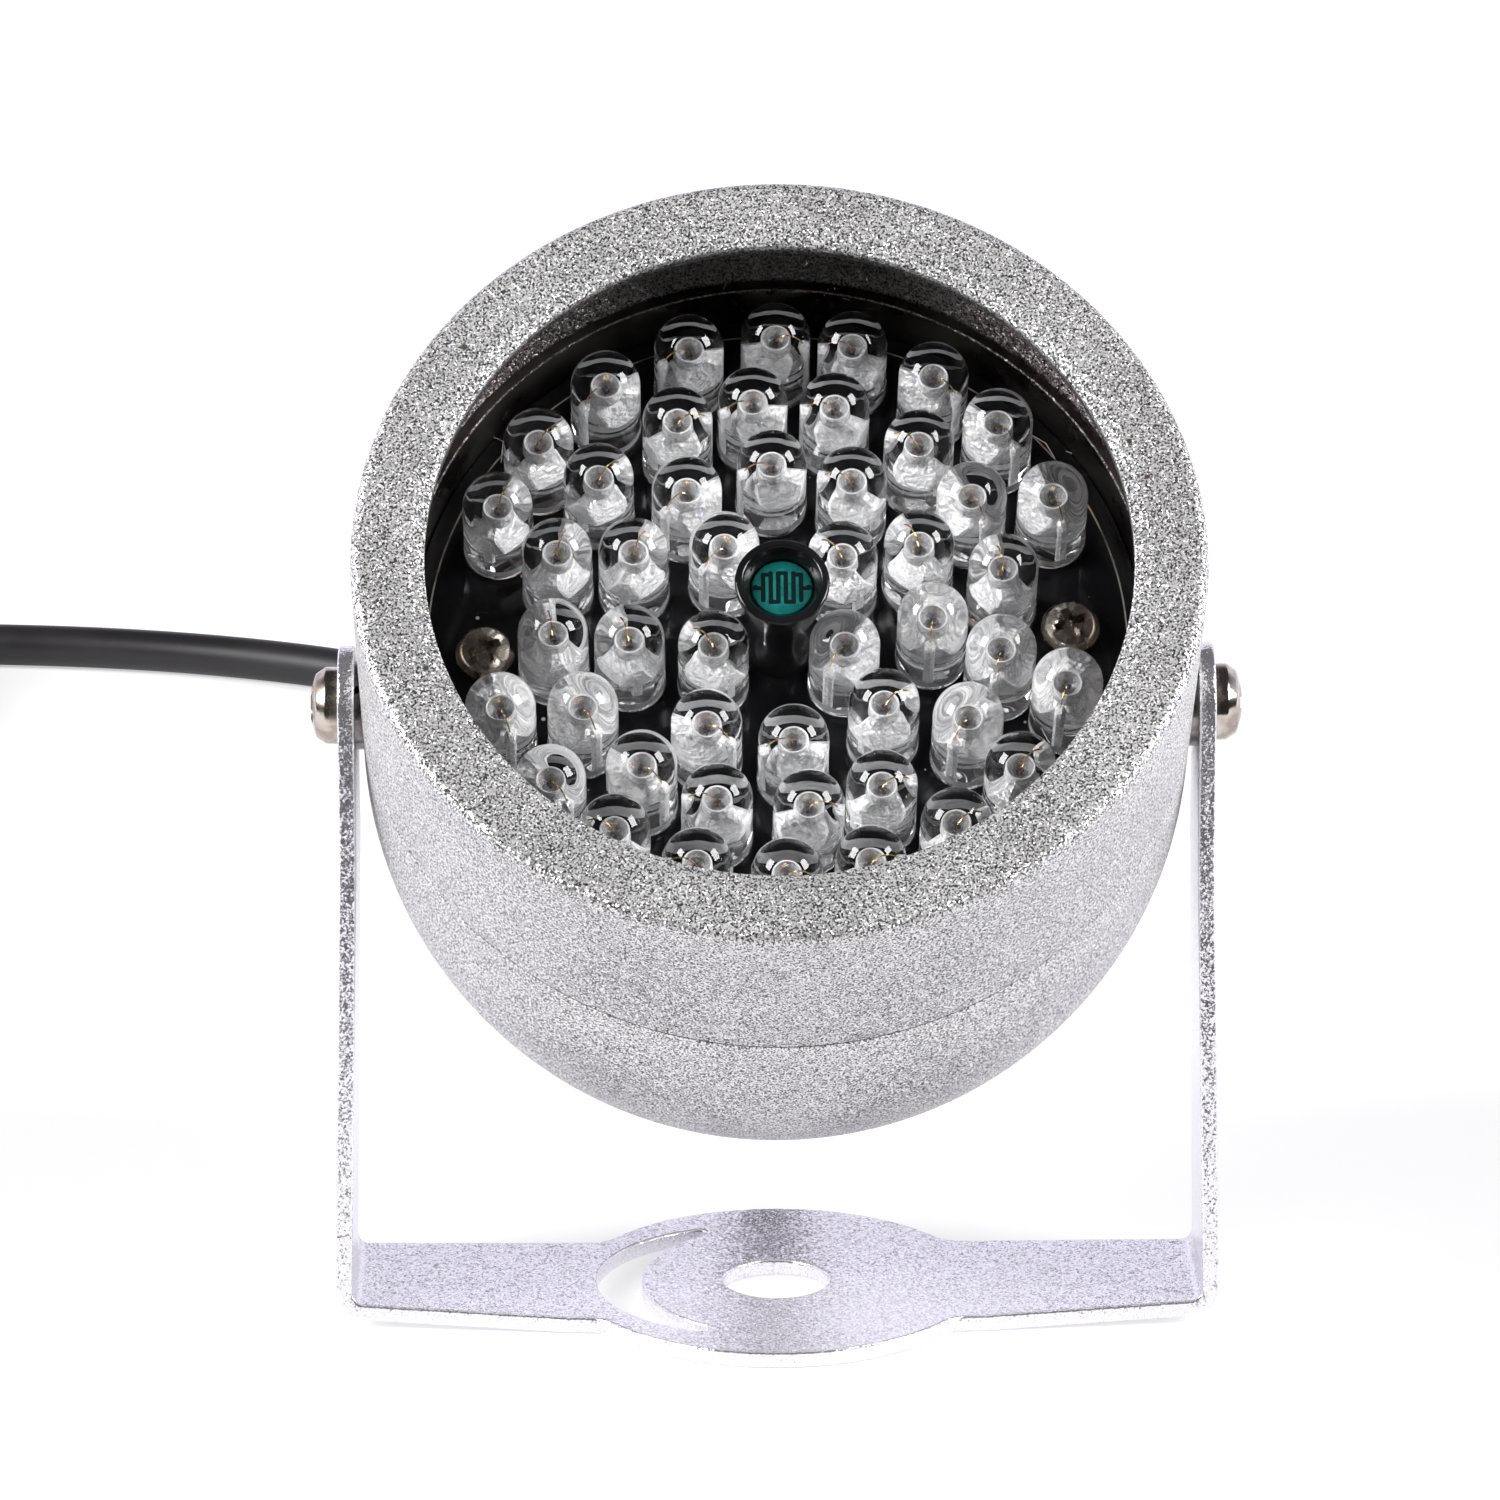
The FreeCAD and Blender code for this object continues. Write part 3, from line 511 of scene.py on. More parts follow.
class Recipe(Graph):
    """A material with its one Principled shader."""

    def __init__(self, name: str) -> None:
        """Makes the material."""
        self.material = bpy.data.materials.new(name)
        self.material.use_nodes = True
        super().__init__(self.material.node_tree)
        self.shader = self.tree.nodes["Principled BSDF"]

    def set(self, **values: Socket | float | Colour) -> None:
        """Sets or feeds the shader's own sockets; an underscore stands for a space."""
        for name, value in values.items():
            self.feed(self.shader.inputs[name.replace("_", " ")], value)

    def mottle(self, patches: float, grains: float) -> tuple[Socket, Socket]:
        """Slow and fast unevenness, with so many patches and grains per metre."""
        out = self.group(EFFECTS.mottle, Patches_per_metre=patches, Grains_per_metre=grains).outputs
        return out["Patches"], out["Grain"]

    def specks(self, count: float, share: float, spread: float) -> Socket:
        """Specks in a share of the cells, with so many cells per metre."""
        return self.group(EFFECTS.specks, Specks_per_metre=count, Share=share, Spread=spread).outputs[0]

    def times(self, first: Socket, second: Socket) -> Socket:
        """Two values multiplied."""
        return self.math("MULTIPLY", first, second)


class Effect(Graph):
    """A shared effect: a node group with named inputs and outputs."""

    def __init__(self, name: str, inputs: Sequence[tuple[str, str, float | tuple[float, ...]]],
                 outputs: Sequence[tuple[str, str]]) -> None:
        """Makes the group.

        Args:
            name: The group's name.
            inputs: Name, kind and usual value of each input.
            outputs: Name and kind of each output.
        """
        super().__init__(bpy.data.node_groups.new(name, "ShaderNodeTree"))
        for title, kind, value in inputs:
            made = self.tree.interface.new_socket(name=title, in_out="INPUT", socket_type=kind)
            made.default_value = value
        for title, kind in outputs:
            self.tree.interface.new_socket(name=title, in_out="OUTPUT", socket_type=kind)
        self.ins = self.tree.nodes.new("NodeGroupInput").outputs
        self.outs = self.tree.nodes.new("NodeGroupOutput").inputs


NUMBER = "NodeSocketFloat"
VECTOR = "NodeSocketVector"


class Effects:
    """The effects that several finishes share, each built once."""

    def __init__(self) -> None:
        """Builds every group."""
        self.flakes = self._flakes()
        self.axis = self._axis()
        self.mark = self._mark()
        self.specks = self._specks()
        self.mottle = self._mottle()

    def _flakes(self) -> bpy.types.NodeTree:
        """Metal flakes in paint: each cell leans its own way and is lighter or darker."""
        e = Effect("Metal flakes", [("Flakes per metre", NUMBER, 5000.0), ("Lean", NUMBER, 0.3),
                                    ("Contrast", NUMBER, 0.5)],
                   [("Shade", NUMBER), ("Normal", VECTOR)])
        total = None
        shades = []
        for size, share in ((1.0, 1.0), (1.9, 0.7)):
            cells, parts = e.cells(e.math("MULTIPLY", e.ins["Flakes per metre"], size))
            centred = e.vector("SUBTRACT", cells.outputs["Color"], (0.5, 0.5, 0.5)).outputs[0]
            lean = e.scaled(centred, share)
            total = lean if total is None else e.vector("ADD", total, lean).outputs[0]
            shades.append(parts.outputs[2])
        normal = e.node("ShaderNodeNewGeometry").outputs["Normal"]
        leaning = e.vector("ADD", normal, e.scaled(total, e.ins["Lean"])).outputs[0]
        e.feed(e.outs["Normal"], e.vector("NORMALIZE", leaning).outputs[0])
        both = e.math("MULTIPLY_ADD", shades[1], 0.45, e.math("MULTIPLY", shades[0], 0.55))
        away = e.math("MULTIPLY", e.math("SUBTRACT", both, 0.5), e.ins["Contrast"])
        e.feed(e.outs["Shade"], e.math("ADD", away, 1.0))
        return e.tree

    def _axis(self) -> bpy.types.NodeTree:
        """Distance from the lamp's axis and height along it, in millimetres."""
        e = Effect("Lamp axis", [("Pivot", VECTOR, (0.0, 0.0, POSE.pivot_z * MM)),
                                 ("Axis", VECTOR, tuple(POSE.axis()))],
                   [("Radius", NUMBER), ("Height", NUMBER)])
        off = e.vector("SUBTRACT", e.place(), e.ins["Pivot"]).outputs[0]
        height = e.vector("DOT_PRODUCT", off, e.ins["Axis"]).outputs["Value"]
        along = e.scaled(e.ins["Axis"], height)
        radius = e.vector("LENGTH", e.vector("SUBTRACT", off, along).outputs[0])
        e.feed(e.outs["Radius"], e.math("MULTIPLY", radius.outputs["Value"], 1000.0))
        e.feed(e.outs["Height"], e.math("MULTIPLY", height, 1000.0))
        return e.tree

    def _mark(self) -> bpy.types.NodeTree:
        """A small ragged mark about one point."""
        e = Effect("Ragged mark", [("Centre", VECTOR, (0.0, 0.0, 0.0)), ("Size", NUMBER, 0.0005)],
                   [("Mask", NUMBER)])
        gap = e.vector("DISTANCE", e.place(), e.ins["Centre"]).outputs["Value"]
        ragged = e.math("MULTIPLY", e.noise(4200.0, 3.0), e.ins["Size"])
        edge = e.math("ADD", gap, ragged)
        ratio = e.math("DIVIDE", edge, e.ins["Size"])
        e.feed(e.outs["Mask"], e.span(ratio, 1.15, 1.35, 1.0, 0.0))
        return e.tree

    def _specks(self) -> bpy.types.NodeTree:
        """Scattered small specks, such as dust, chips or pits."""
        e = Effect("Scattered specks", [("Specks per metre", NUMBER, 900.0), ("Share", NUMBER, 0.1),
                                        ("Spread", NUMBER, 0.2)], [("Mask", NUMBER)])
        cells, parts = e.cells(e.ins["Specks per metre"])
        chosen = e.math("LESS_THAN", parts.outputs[0], e.ins["Share"])
        size = e.math("MULTIPLY", e.ins["Spread"], e.math("ADD", parts.outputs[1], 0.35))
        near = e.math("SUBTRACT", size, cells.outputs["Distance"])
        sharp = e.math("MULTIPLY", near, 18.0, clamp=True)
        e.feed(e.outs["Mask"], e.math("MULTIPLY", chosen, sharp))
        return e.tree

    def _mottle(self) -> bpy.types.NodeTree:
        """Slow and fast unevenness of a moulded, drawn or plated surface."""
        e = Effect("Mottle", [("Patches per metre", NUMBER, 120.0), ("Grains per metre", NUMBER, 3000.0)],
                   [("Patches", NUMBER), ("Grain", NUMBER)])
        e.feed(e.outs["Patches"], e.noise(e.ins["Patches per metre"], 3.0))
        e.feed(e.outs["Grain"], e.noise(e.ins["Grains per metre"]))
        return e.tree


EFFECTS = Effects()


@dataclass(frozen=True)
class Mark:
    """One mark that the object has picked up.

    Args:
        centre: Its place, in millimetres.
        size: Its half width, in millimetres.
    """

    centre: Point
    size: float


@dataclass(frozen=True)
class SparklePaint:
    """Silver paint full of aluminium flakes, with chips and marks.

    Args:
        name: The material's name.
        tone: The paint's colour.
        flakes: Flakes per metre.
        lean: How far the flakes lean.
        contrast: How much the flakes differ in shade.
        roughness: The paint's roughness.
        metal: How metallic the paint is.
        dark: Shade of the dark grains.
        chip: Colour of a chip.
        marks: Single marks, darkest first.
        seam: Whether the seam between the two castings is dark and the bore gets painted shade.
        painted_bore_shade: Painted shade: how much darker the paint is made inside the bore.
        bore_shade_radius: Where the painted shade ends outward, in millimetres.
        bore_shade_foot: Where it begins above the neck's foot.
        bore_shade_top: Where it ends below the rim.
        seam_radius: Where the seam's line begins.
        seam_half: Half the width of the seam's line.
    """

    name: str
    tone: Colour = (0.93, 0.915, 0.92, 1.0)
    flakes: float = 6600.0
    lean: float = 0.6
    contrast: float = 1.0
    roughness: float = 0.34
    metal: float = 0.6
    dark: float = 0.08
    chip: Colour = (0.09, 0.065, 0.05, 1.0)
    marks: tuple[Mark, ...] = ()
    seam: bool = False
    painted_bore_shade: Colour = (0.2, 0.18, 0.18, 1.0)
    bore_shade_radius: Flat = (26.6, 26.9)
    bore_shade_foot: Flat = (5.2, 5.5)
    bore_shade_top: Flat = (21.7, 22.2)
    seam_radius: Flat = (27.5, 28.0)
    seam_half: Flat = (0.07, 0.13)

    def make(self) -> bpy.types.Material:
        """Builds the material."""
        r = Recipe(self.name)
        flakes = r.group(EFFECTS.flakes, Flakes_per_metre=self.flakes, Lean=self.lean,
                         Contrast=self.contrast)
        patches, grain = r.mottle(90.0, 6800.0)
        shade = r.times(flakes.outputs["Shade"], r.span(patches, 0.3, 0.7, 0.95, 1.04))
        shade = r.times(shade, r.span(grain, 0.4, 0.53, self.dark, 1.1))
        colour = r.mix(1.0, self.tone, shade, "MULTIPLY")
        mask = r.specks(420.0, 0.012, 0.16)
        for mark in self.marks:
            place = tuple(c * MM for c in mark.centre)
            spot = r.group(EFFECTS.mark, Centre=place, Size=mark.size * MM).outputs[0]
            mask = r.math("MAXIMUM", mask, spot)
        # Dark seam line between the castings, and painted shade inside the bore.
        if self.seam:
            colour, mask = self.seam_and_bore_shade(r, colour, mask)
        r.set(Base_Color=r.mix(mask, colour, self.chip),
              Metallic=r.span(mask, 0.0, 1.0, self.metal, 0.1),
              Roughness=r.span(patches, 0.3, 0.7, self.roughness - 0.03, self.roughness + 0.05),
              Normal=r.bump(r.math("SUBTRACT", grain, mask), 0.25, 0.000022, flakes.outputs["Normal"]))
        return r.material

    def seam_and_bore_shade(self, r: Recipe, colour: Socket, mask: Socket) -> tuple[Socket, Socket]:
        """Paints shade into the bore by darkening the paint there, and darkens the seam between the
        castings.

        Args:
            r: The recipe that it adds to.
            colour: The paint's colour so far.
            mask: Where the paint is missing so far.

        Returns:
            The new colour and the new mask.
        """
        axis = r.group(EFFECTS.axis)
        radius, height = axis.outputs["Radius"], axis.outputs["Height"]
        # Painted shade: the paint is darkened inside the bore, between the neck's foot and the rim.
        bore_shade_mask = r.times(r.span(radius, *self.bore_shade_radius, 1.0, 0.0), r.span(height, *self.bore_shade_top, 1.0, 0.0))
        bore_shade_mask = r.times(bore_shade_mask, r.span(height, *self.bore_shade_foot))
        gap = r.math("ABSOLUTE", r.math("SUBTRACT", height, SEAM))
        line = r.times(r.span(radius, *self.seam_radius), r.span(gap, *self.seam_half, 1.0, 0.0))
        return r.mix(bore_shade_mask, colour, self.painted_bore_shade, "MULTIPLY"), r.math("MAXIMUM", mask, line)


@dataclass(frozen=True)
class Plain:
    """A moulded, drawn or plated finish with fine unevenness.

    Args:
        name: The material's name.
        tone: Its colour.
        worn: The colour of its patches.
        metallic: 1 for metal, 0 for anything else.
        roughness: Its roughness where it is smoothest and where it is dullest.
        patches: Patches per metre.
        grains: Grains per metre.
        relief: Depth of the grain, in millimetres.
        dust: Share of cells that hold a speck of dust.
        coat: Clear coat on top.
    """

    name: str
    tone: Colour
    worn: Colour
    metallic: float = 0.0
    roughness: Flat = (0.3, 0.4)
    patches: float = 150.0
    grains: float = 3000.0
    relief: float = 0.01
    dust: float = 0.0
    coat: float = 0.0

    def make(self) -> bpy.types.Material:
        """Builds the material."""
        r = Recipe(self.name)
        r.set(Metallic=self.metallic, Coat_Weight=self.coat, Coat_Roughness=0.08)
        patches, height = r.mottle(self.patches, self.grains)
        patch = r.span(patches, 0.35, 0.65)
        colour = r.mix(patch, self.tone, self.worn)
        if self.dust > 0:
            dust = r.specks(1500.0, self.dust, 0.2)
            colour = r.mix(dust, colour, (0.62, 0.6, 0.56, 1.0))
            height = r.math("ADD", height, dust)
        r.set(Base_Color=colour, Roughness=r.span(patch, 0.0, 1.0, *self.roughness, smooth=False),
              Normal=r.bump(height, 0.5, self.relief * MM))
        return r.material


@dataclass(frozen=True)
class Resin:
    """The water-clear resin of the diodes.

    Args:
        name: The material's name.
        index: Its refractive index.
    """

    name: str
    index: float = 1.53

    def make(self) -> bpy.types.Material:
        """Builds the material."""
        r = Recipe(self.name)
        patches, grain = r.mottle(300.0, 1200.0)
        shadow = r.node("ShaderNodeLightPath").outputs["Is Shadow Ray"]
        r.set(Transmission_Weight=1.0, IOR=self.index, Alpha=r.math("SUBTRACT", 1.0, shadow),
              Base_Color=r.mix(patches, (0.97, 0.98, 0.985, 1.0), (1.0, 1.0, 1.0, 1.0)),
              Roughness=r.span(patches, 0.4, 0.7, 0.0, 0.03),
              Normal=r.bump(grain, 0.05, 0.00002))
        return r.material


@dataclass(frozen=True)
class BoardMask:
    """Glossy black lacquer on the round board, with a scribed ring, dust and dull patches.

    Args:
        name: The material's name.
        tone: The lacquer's colour.
        ring: Radius of the scribed ring, in millimetres.
    """

    name: str
    tone: Colour = (0.006, 0.006, 0.007, 1.0)
    ring: float = 24.14

    def make(self) -> bpy.types.Material:
        """Builds the material."""
        r = Recipe(self.name)
        off = r.math("ABSOLUTE", r.math("SUBTRACT", r.group(EFFECTS.axis).outputs["Radius"], self.ring))
        patches, grain = r.mottle(260.0, 2500.0)
        broken = r.times(r.span(off, 0.03, 0.08, 1.0, 0.0), r.span(patches, 0.35, 0.6, 0.25, 1.0))
        dirt = r.math("MAXIMUM", r.specks(1300.0, 0.09, 0.17), r.specks(520.0, 0.03, 0.15))
        colour = r.mix(broken, self.tone, (0.32, 0.28, 0.24, 1.0))
        height = r.math("ADD", r.math("MULTIPLY", grain, 0.15), dirt)
        r.set(Specular_IOR_Level=0.3, Base_Color=r.mix(dirt, colour, (0.5, 0.48, 0.44, 1.0)),
              Roughness=r.math("MAXIMUM", dirt, r.span(patches, 0.4, 0.75, 0.1, 0.24)),
              Normal=r.bump(height, 0.3, 0.00002))
        return r.material


class Finishes:
    """Every finish of the lamp, built once."""

    def __init__(self) -> None:
        """Builds the materials."""
        self.casting = SparklePaint("silver_casting_paint", seam=True, marks=(
            Mark((-22.3, -28.9, 46.9), 0.32), Mark((-15.7, -29.8, 45.9), 0.2),
            Mark((23.9, -10.7, 66.0), 0.32), Mark((25.0, -12.6, 64.0), 0.28))).make()
        self.sheet = SparklePaint("silver_sheet_paint", tone=(0.95, 0.935, 0.985, 1.0), contrast=0.2,
                                  lean=0.25, roughness=0.2, metal=0.85, dark=0.9).make()
        self.neck = Plain("turned_neck", (0.12, 0.1, 0.09, 1.0), (0.22, 0.2, 0.18, 1.0), 1.0,
                          (0.25, 0.4), grains=5000.0).make()
        self.nickel = Plain("nickel_plate", (0.62, 0.57, 0.5, 1.0), (0.42, 0.36, 0.3, 1.0), 1.0,
                            (0.12, 0.3), patches=900.0, grains=6000.0, relief=0.006).make()
        self.spring = Plain("spring_steel", (0.3, 0.28, 0.27, 1.0), (0.17, 0.15, 0.14, 1.0), 1.0,
                            (0.22, 0.38), patches=700.0).make()
        self.rubber = Plain("seal_rubber", (0.02, 0.02, 0.02, 1.0), (0.03, 0.03, 0.03, 1.0), 0.0,
                            (0.5, 0.6)).make()
        self.board = BoardMask("board_lacquer").make()
        self.resin = Resin("clear_resin").make()
        self.frame = Plain("silvered_frame", (1.0, 0.99, 0.98, 1.0), (0.6, 0.6, 0.63, 1.0), 0.3,
                           (0.14, 0.3), patches=3000.0, grains=3800.0, relief=0.45).make()
        self.cup = Plain("cup_silver", (0.97, 0.97, 0.97, 1.0), (0.8, 0.8, 0.82, 1.0), 0.85,
                         (0.2, 0.3), patches=2600.0, grains=6000.0, relief=0.012).make()
        self.lint = Plain("pale_lint", (0.62, 0.6, 0.57, 1.0), (0.5, 0.48, 0.45, 1.0), 0.0,
                          (0.6, 0.7), patches=900.0).make()
        self.frosted = Plain("frosted_foot", (0.8, 0.8, 0.81, 1.0), (0.5, 0.5, 0.52, 1.0), 0.15,
                             (0.22, 0.42), patches=1100.0, grains=3200.0, relief=0.08).make()
        self.chip = Plain("diode_chip", (0.05, 0.045, 0.06, 1.0), (0.12, 0.1, 0.09, 1.0), 0.3,
                          (0.2, 0.3), patches=4000.0).make()
        self.gold = Plain("gold_thread", (0.85, 0.58, 0.25, 1.0), (0.7, 0.45, 0.18, 1.0), 1.0,
                          (0.18, 0.28), patches=3000.0).make()
        self.solder = Plain("solder", (0.72, 0.72, 0.7, 1.0), (0.5, 0.5, 0.49, 1.0), 1.0,
                            (0.2, 0.45), patches=1500.0).make()
        self.film = Plain("teal_film", (0.004, 0.16, 0.15, 1.0), (0.008, 0.24, 0.21, 1.0), 0.0,
                          (0.25, 0.4), patches=1200.0, coat=1.0).make()
        self.track = Plain("dark_track", (0.004, 0.012, 0.012, 1.0), (0.006, 0.02, 0.02, 1.0), 0.0,
                           (0.15, 0.25), coat=0.5).make()
        self.sleeve = Plain("sleeve_black", (0.008, 0.008, 0.009, 1.0), (0.014, 0.014, 0.015, 1.0), 0.0,
                            (0.08, 0.2), patches=350.0, relief=0.02, dust=0.02).make()
        self.component = Plain("component_black", (0.015, 0.015, 0.016, 1.0), (0.03, 0.03, 0.03, 1.0),
                               0.0, (0.4, 0.55)).make()
        self.cable = Plain("cable_sheath", (0.016, 0.014, 0.017, 1.0), (0.022, 0.02, 0.023, 1.0), 0.0,
                           (0.4, 0.48), patches=90.0, grains=1800.0, relief=0.02, dust=0.01).make()
        self.red = Plain("wire_red", (0.5, 0.015, 0.012, 1.0), (0.4, 0.012, 0.01, 1.0), 0.0,
                         (0.35, 0.45)).make()
        self.black = Plain("wire_black", (0.016, 0.016, 0.016, 1.0), (0.026, 0.026, 0.026, 1.0), 0.0,
                           (0.35, 0.45)).make()
        self.tie = Plain("tie_nylon", (0.68, 0.67, 0.62, 1.0), (0.6, 0.59, 0.54, 1.0), 0.0,
                         (0.35, 0.45)).make()
        self.socket = Plain("socket_plastic", (0.012, 0.012, 0.013, 1.0), (0.02, 0.02, 0.021, 1.0), 0.0,
                            (0.32, 0.45), relief=0.03, dust=0.01).make()
        self.contact = Plain("contact_metal", (0.75, 0.72, 0.66, 1.0), (0.6, 0.56, 0.5, 1.0), 1.0,
                             (0.15, 0.3), patches=900.0).make()


@dataclass
class Studio:
    """The camera, the pale floor and the soft light.

    Args:
        eye: The camera's place, in millimetres.
        yaw: Its turn to the right, in radians.
        pitch: How far it looks down, in radians.
        roll: Its roll, in radians.
        focal: Focal length in pixels of the 1500 pixel frame.
        frame_px: Width of that frame, in pixels.
        sensor: Width of the camera's sensor, in millimetres.
        floor_half: Half the floor's width, in metres.
        floor_near: How far the floor comes forward, in metres.
        floor_under: How far the floor lies under the base, in metres.
        white: What the camera sees of the floor and the room.
        floor_in_metal: The floor's colour in reflections.
        room_front: The room's light in front.
        room_back: The room's light behind.
        room_high: The room's light overhead.
        lamp_size: Width and height of each lamp, in metres.
        lamp_aim: What the lamps look at, in metres.
        lamps: Name, place in metres and brightness of each lamp.
    """

    eye: Point = (-7.643, -536.98, 206.0)
    yaw: float = 0.010799
    pitch: float = 0.29844
    roll: float = -0.0012665
    focal: float = 8008.2
    frame_px: float = 1500.0
    sensor: float = 36.0
    floor_half: float = 4.0
    floor_near: float = 0.1
    floor_under: float = 0.00003
    white: Colour = (1.0, 1.0, 1.0, 1.0)
    floor_in_metal: Colour = (0.9, 0.88, 0.98, 1.0)
    room_front: Colour = (0.03, 0.028, 0.028, 1.0)
    room_back: Colour = (0.97, 0.94, 1.1, 1.0)
    room_high: Colour = (0.05, 0.048, 0.05, 1.0)
    lamp_size: Flat = (0.48, 0.62)
    lamp_aim: Point = (0.0, 0.0, 0.04)
    lamps: tuple[tuple[str, Point, float], ...] = (
        ("lamp_left", (-1.0, -0.34, 0.62), 17.0),
        ("lamp_right", (1.0, -0.34, 0.62), 15.5),
    )

    def camera(self) -> None:
        """Makes the camera at the photograph's viewing angle."""
        cy, sy = math.cos(self.yaw), math.sin(self.yaw)
        cp, sp = math.cos(self.pitch), math.sin(self.pitch)
        ahead = Vector((sy * cp, cy * cp, -sp))
        right = Vector((cy, -sy, 0.0))
        up = right.cross(ahead)
        c, s = math.cos(self.roll), math.sin(self.roll)
        turned = (right * c + up * s, up * c - right * s, -ahead)
        data = bpy.data.cameras.new("camera")
        data.sensor_width = self.sensor
        data.lens = self.sensor * self.focal / self.frame_px
        data.clip_start = 0.01
        data.clip_end = 50.0
        eye = linked("camera", data)
        turn = Matrix([list(v) for v in turned]).transposed().to_4x4()
        eye.matrix_world = Matrix.Translation(Vector(self.eye) * MM) @ turn
        bpy.context.scene.camera = eye

    def floor(self) -> None:
        """Makes the pale floor, white to the camera and to reflections."""
        half, near = self.floor_half, self.floor_near
        data = bpy.data.meshes.new("floor")
        corners = [(-half, -near), (half, -near), (half, half), (-half, half)]
        data.from_pydata([(x, y, -self.floor_under) for x, y in corners], [], [(0, 1, 2, 3)])
        floor = linked("floor", data)
        r = Recipe("pale_floor")
        path = r.node("ShaderNodeLightPath").outputs
        seen = r.math("MAXIMUM", path["Is Camera Ray"], path["Is Glossy Ray"])
        seen = r.math("MAXIMUM", seen, path["Is Transmission Ray"])
        away = r.vector("LENGTH", r.node("ShaderNodeNewGeometry").outputs["Position"])
        level = r.span(away.outputs["Value"], 0.2, 0.8, 0.52, 1.0)
        r.set(Roughness=0.9, Specular_IOR_Level=0.0,
              Base_Color=r.mix(r.noise(3.0), (0.6, 0.6, 0.6, 1.0), (0.62, 0.62, 0.62, 1.0)),
              Emission_Color=r.mix(path["Is Glossy Ray"], self.white, self.floor_in_metal),
              Emission_Strength=r.times(seen, level))
        data.materials.append(r.material)

    def world(self) -> None:
        """Lights the room softly: bright behind, dark overhead and in front."""
        world = bpy.data.worlds.new("room")
        bpy.context.scene.world = world
        world.use_nodes = True
        back = world.node_tree.nodes["Background"].inputs
        r = Graph(world.node_tree)
        parts = r.node("ShaderNodeSeparateXYZ")
        r.feed(parts.inputs[0], r.node("ShaderNodeTexCoord").outputs["Generated"])
        level = r.mix(r.span(parts.outputs[1], -0.3, 0.3), self.room_front, self.room_back)
        level = r.mix(r.span(parts.outputs[2], 0.4, 0.62), level, self.room_high)
        seen = r.node("ShaderNodeLightPath").outputs["Is Camera Ray"]
        r.feed(back["Color"], r.mix(seen, level, self.white))
        back["Strength"].default_value = 1.0

    def lamp(self, name: str, place: Point, radiance: float) -> None:
        """A soft rectangular lamp aimed at the lamp head.

        Args:
            name: The lamp's name.
            place: Its place, in metres.
            radiance: How bright its face looks.
        """
        wide, high = self.lamp_size
        data = bpy.data.lights.new(name, "AREA")
        data.shape = "RECTANGLE"
        data.size, data.size_y = wide, high
        data.energy = radiance * math.pi * wide * high
        thing = linked(name, data)
        thing.location = place
        aim = Vector(self.lamp_aim) - Vector(place)
        thing.rotation_euler = aim.to_track_quat("-Z", "Y").to_euler()
        thing.visible_camera = False

    def build(self) -> None:
        """Sets up the whole studio."""
        self.camera()
        self.floor()
        self.world()
        for lamp in self.lamps:
            self.lamp(*lamp)
        bpy.context.scene.view_settings.view_transform = "Standard"
        log.info("studio: camera at %s mm", self.eye)


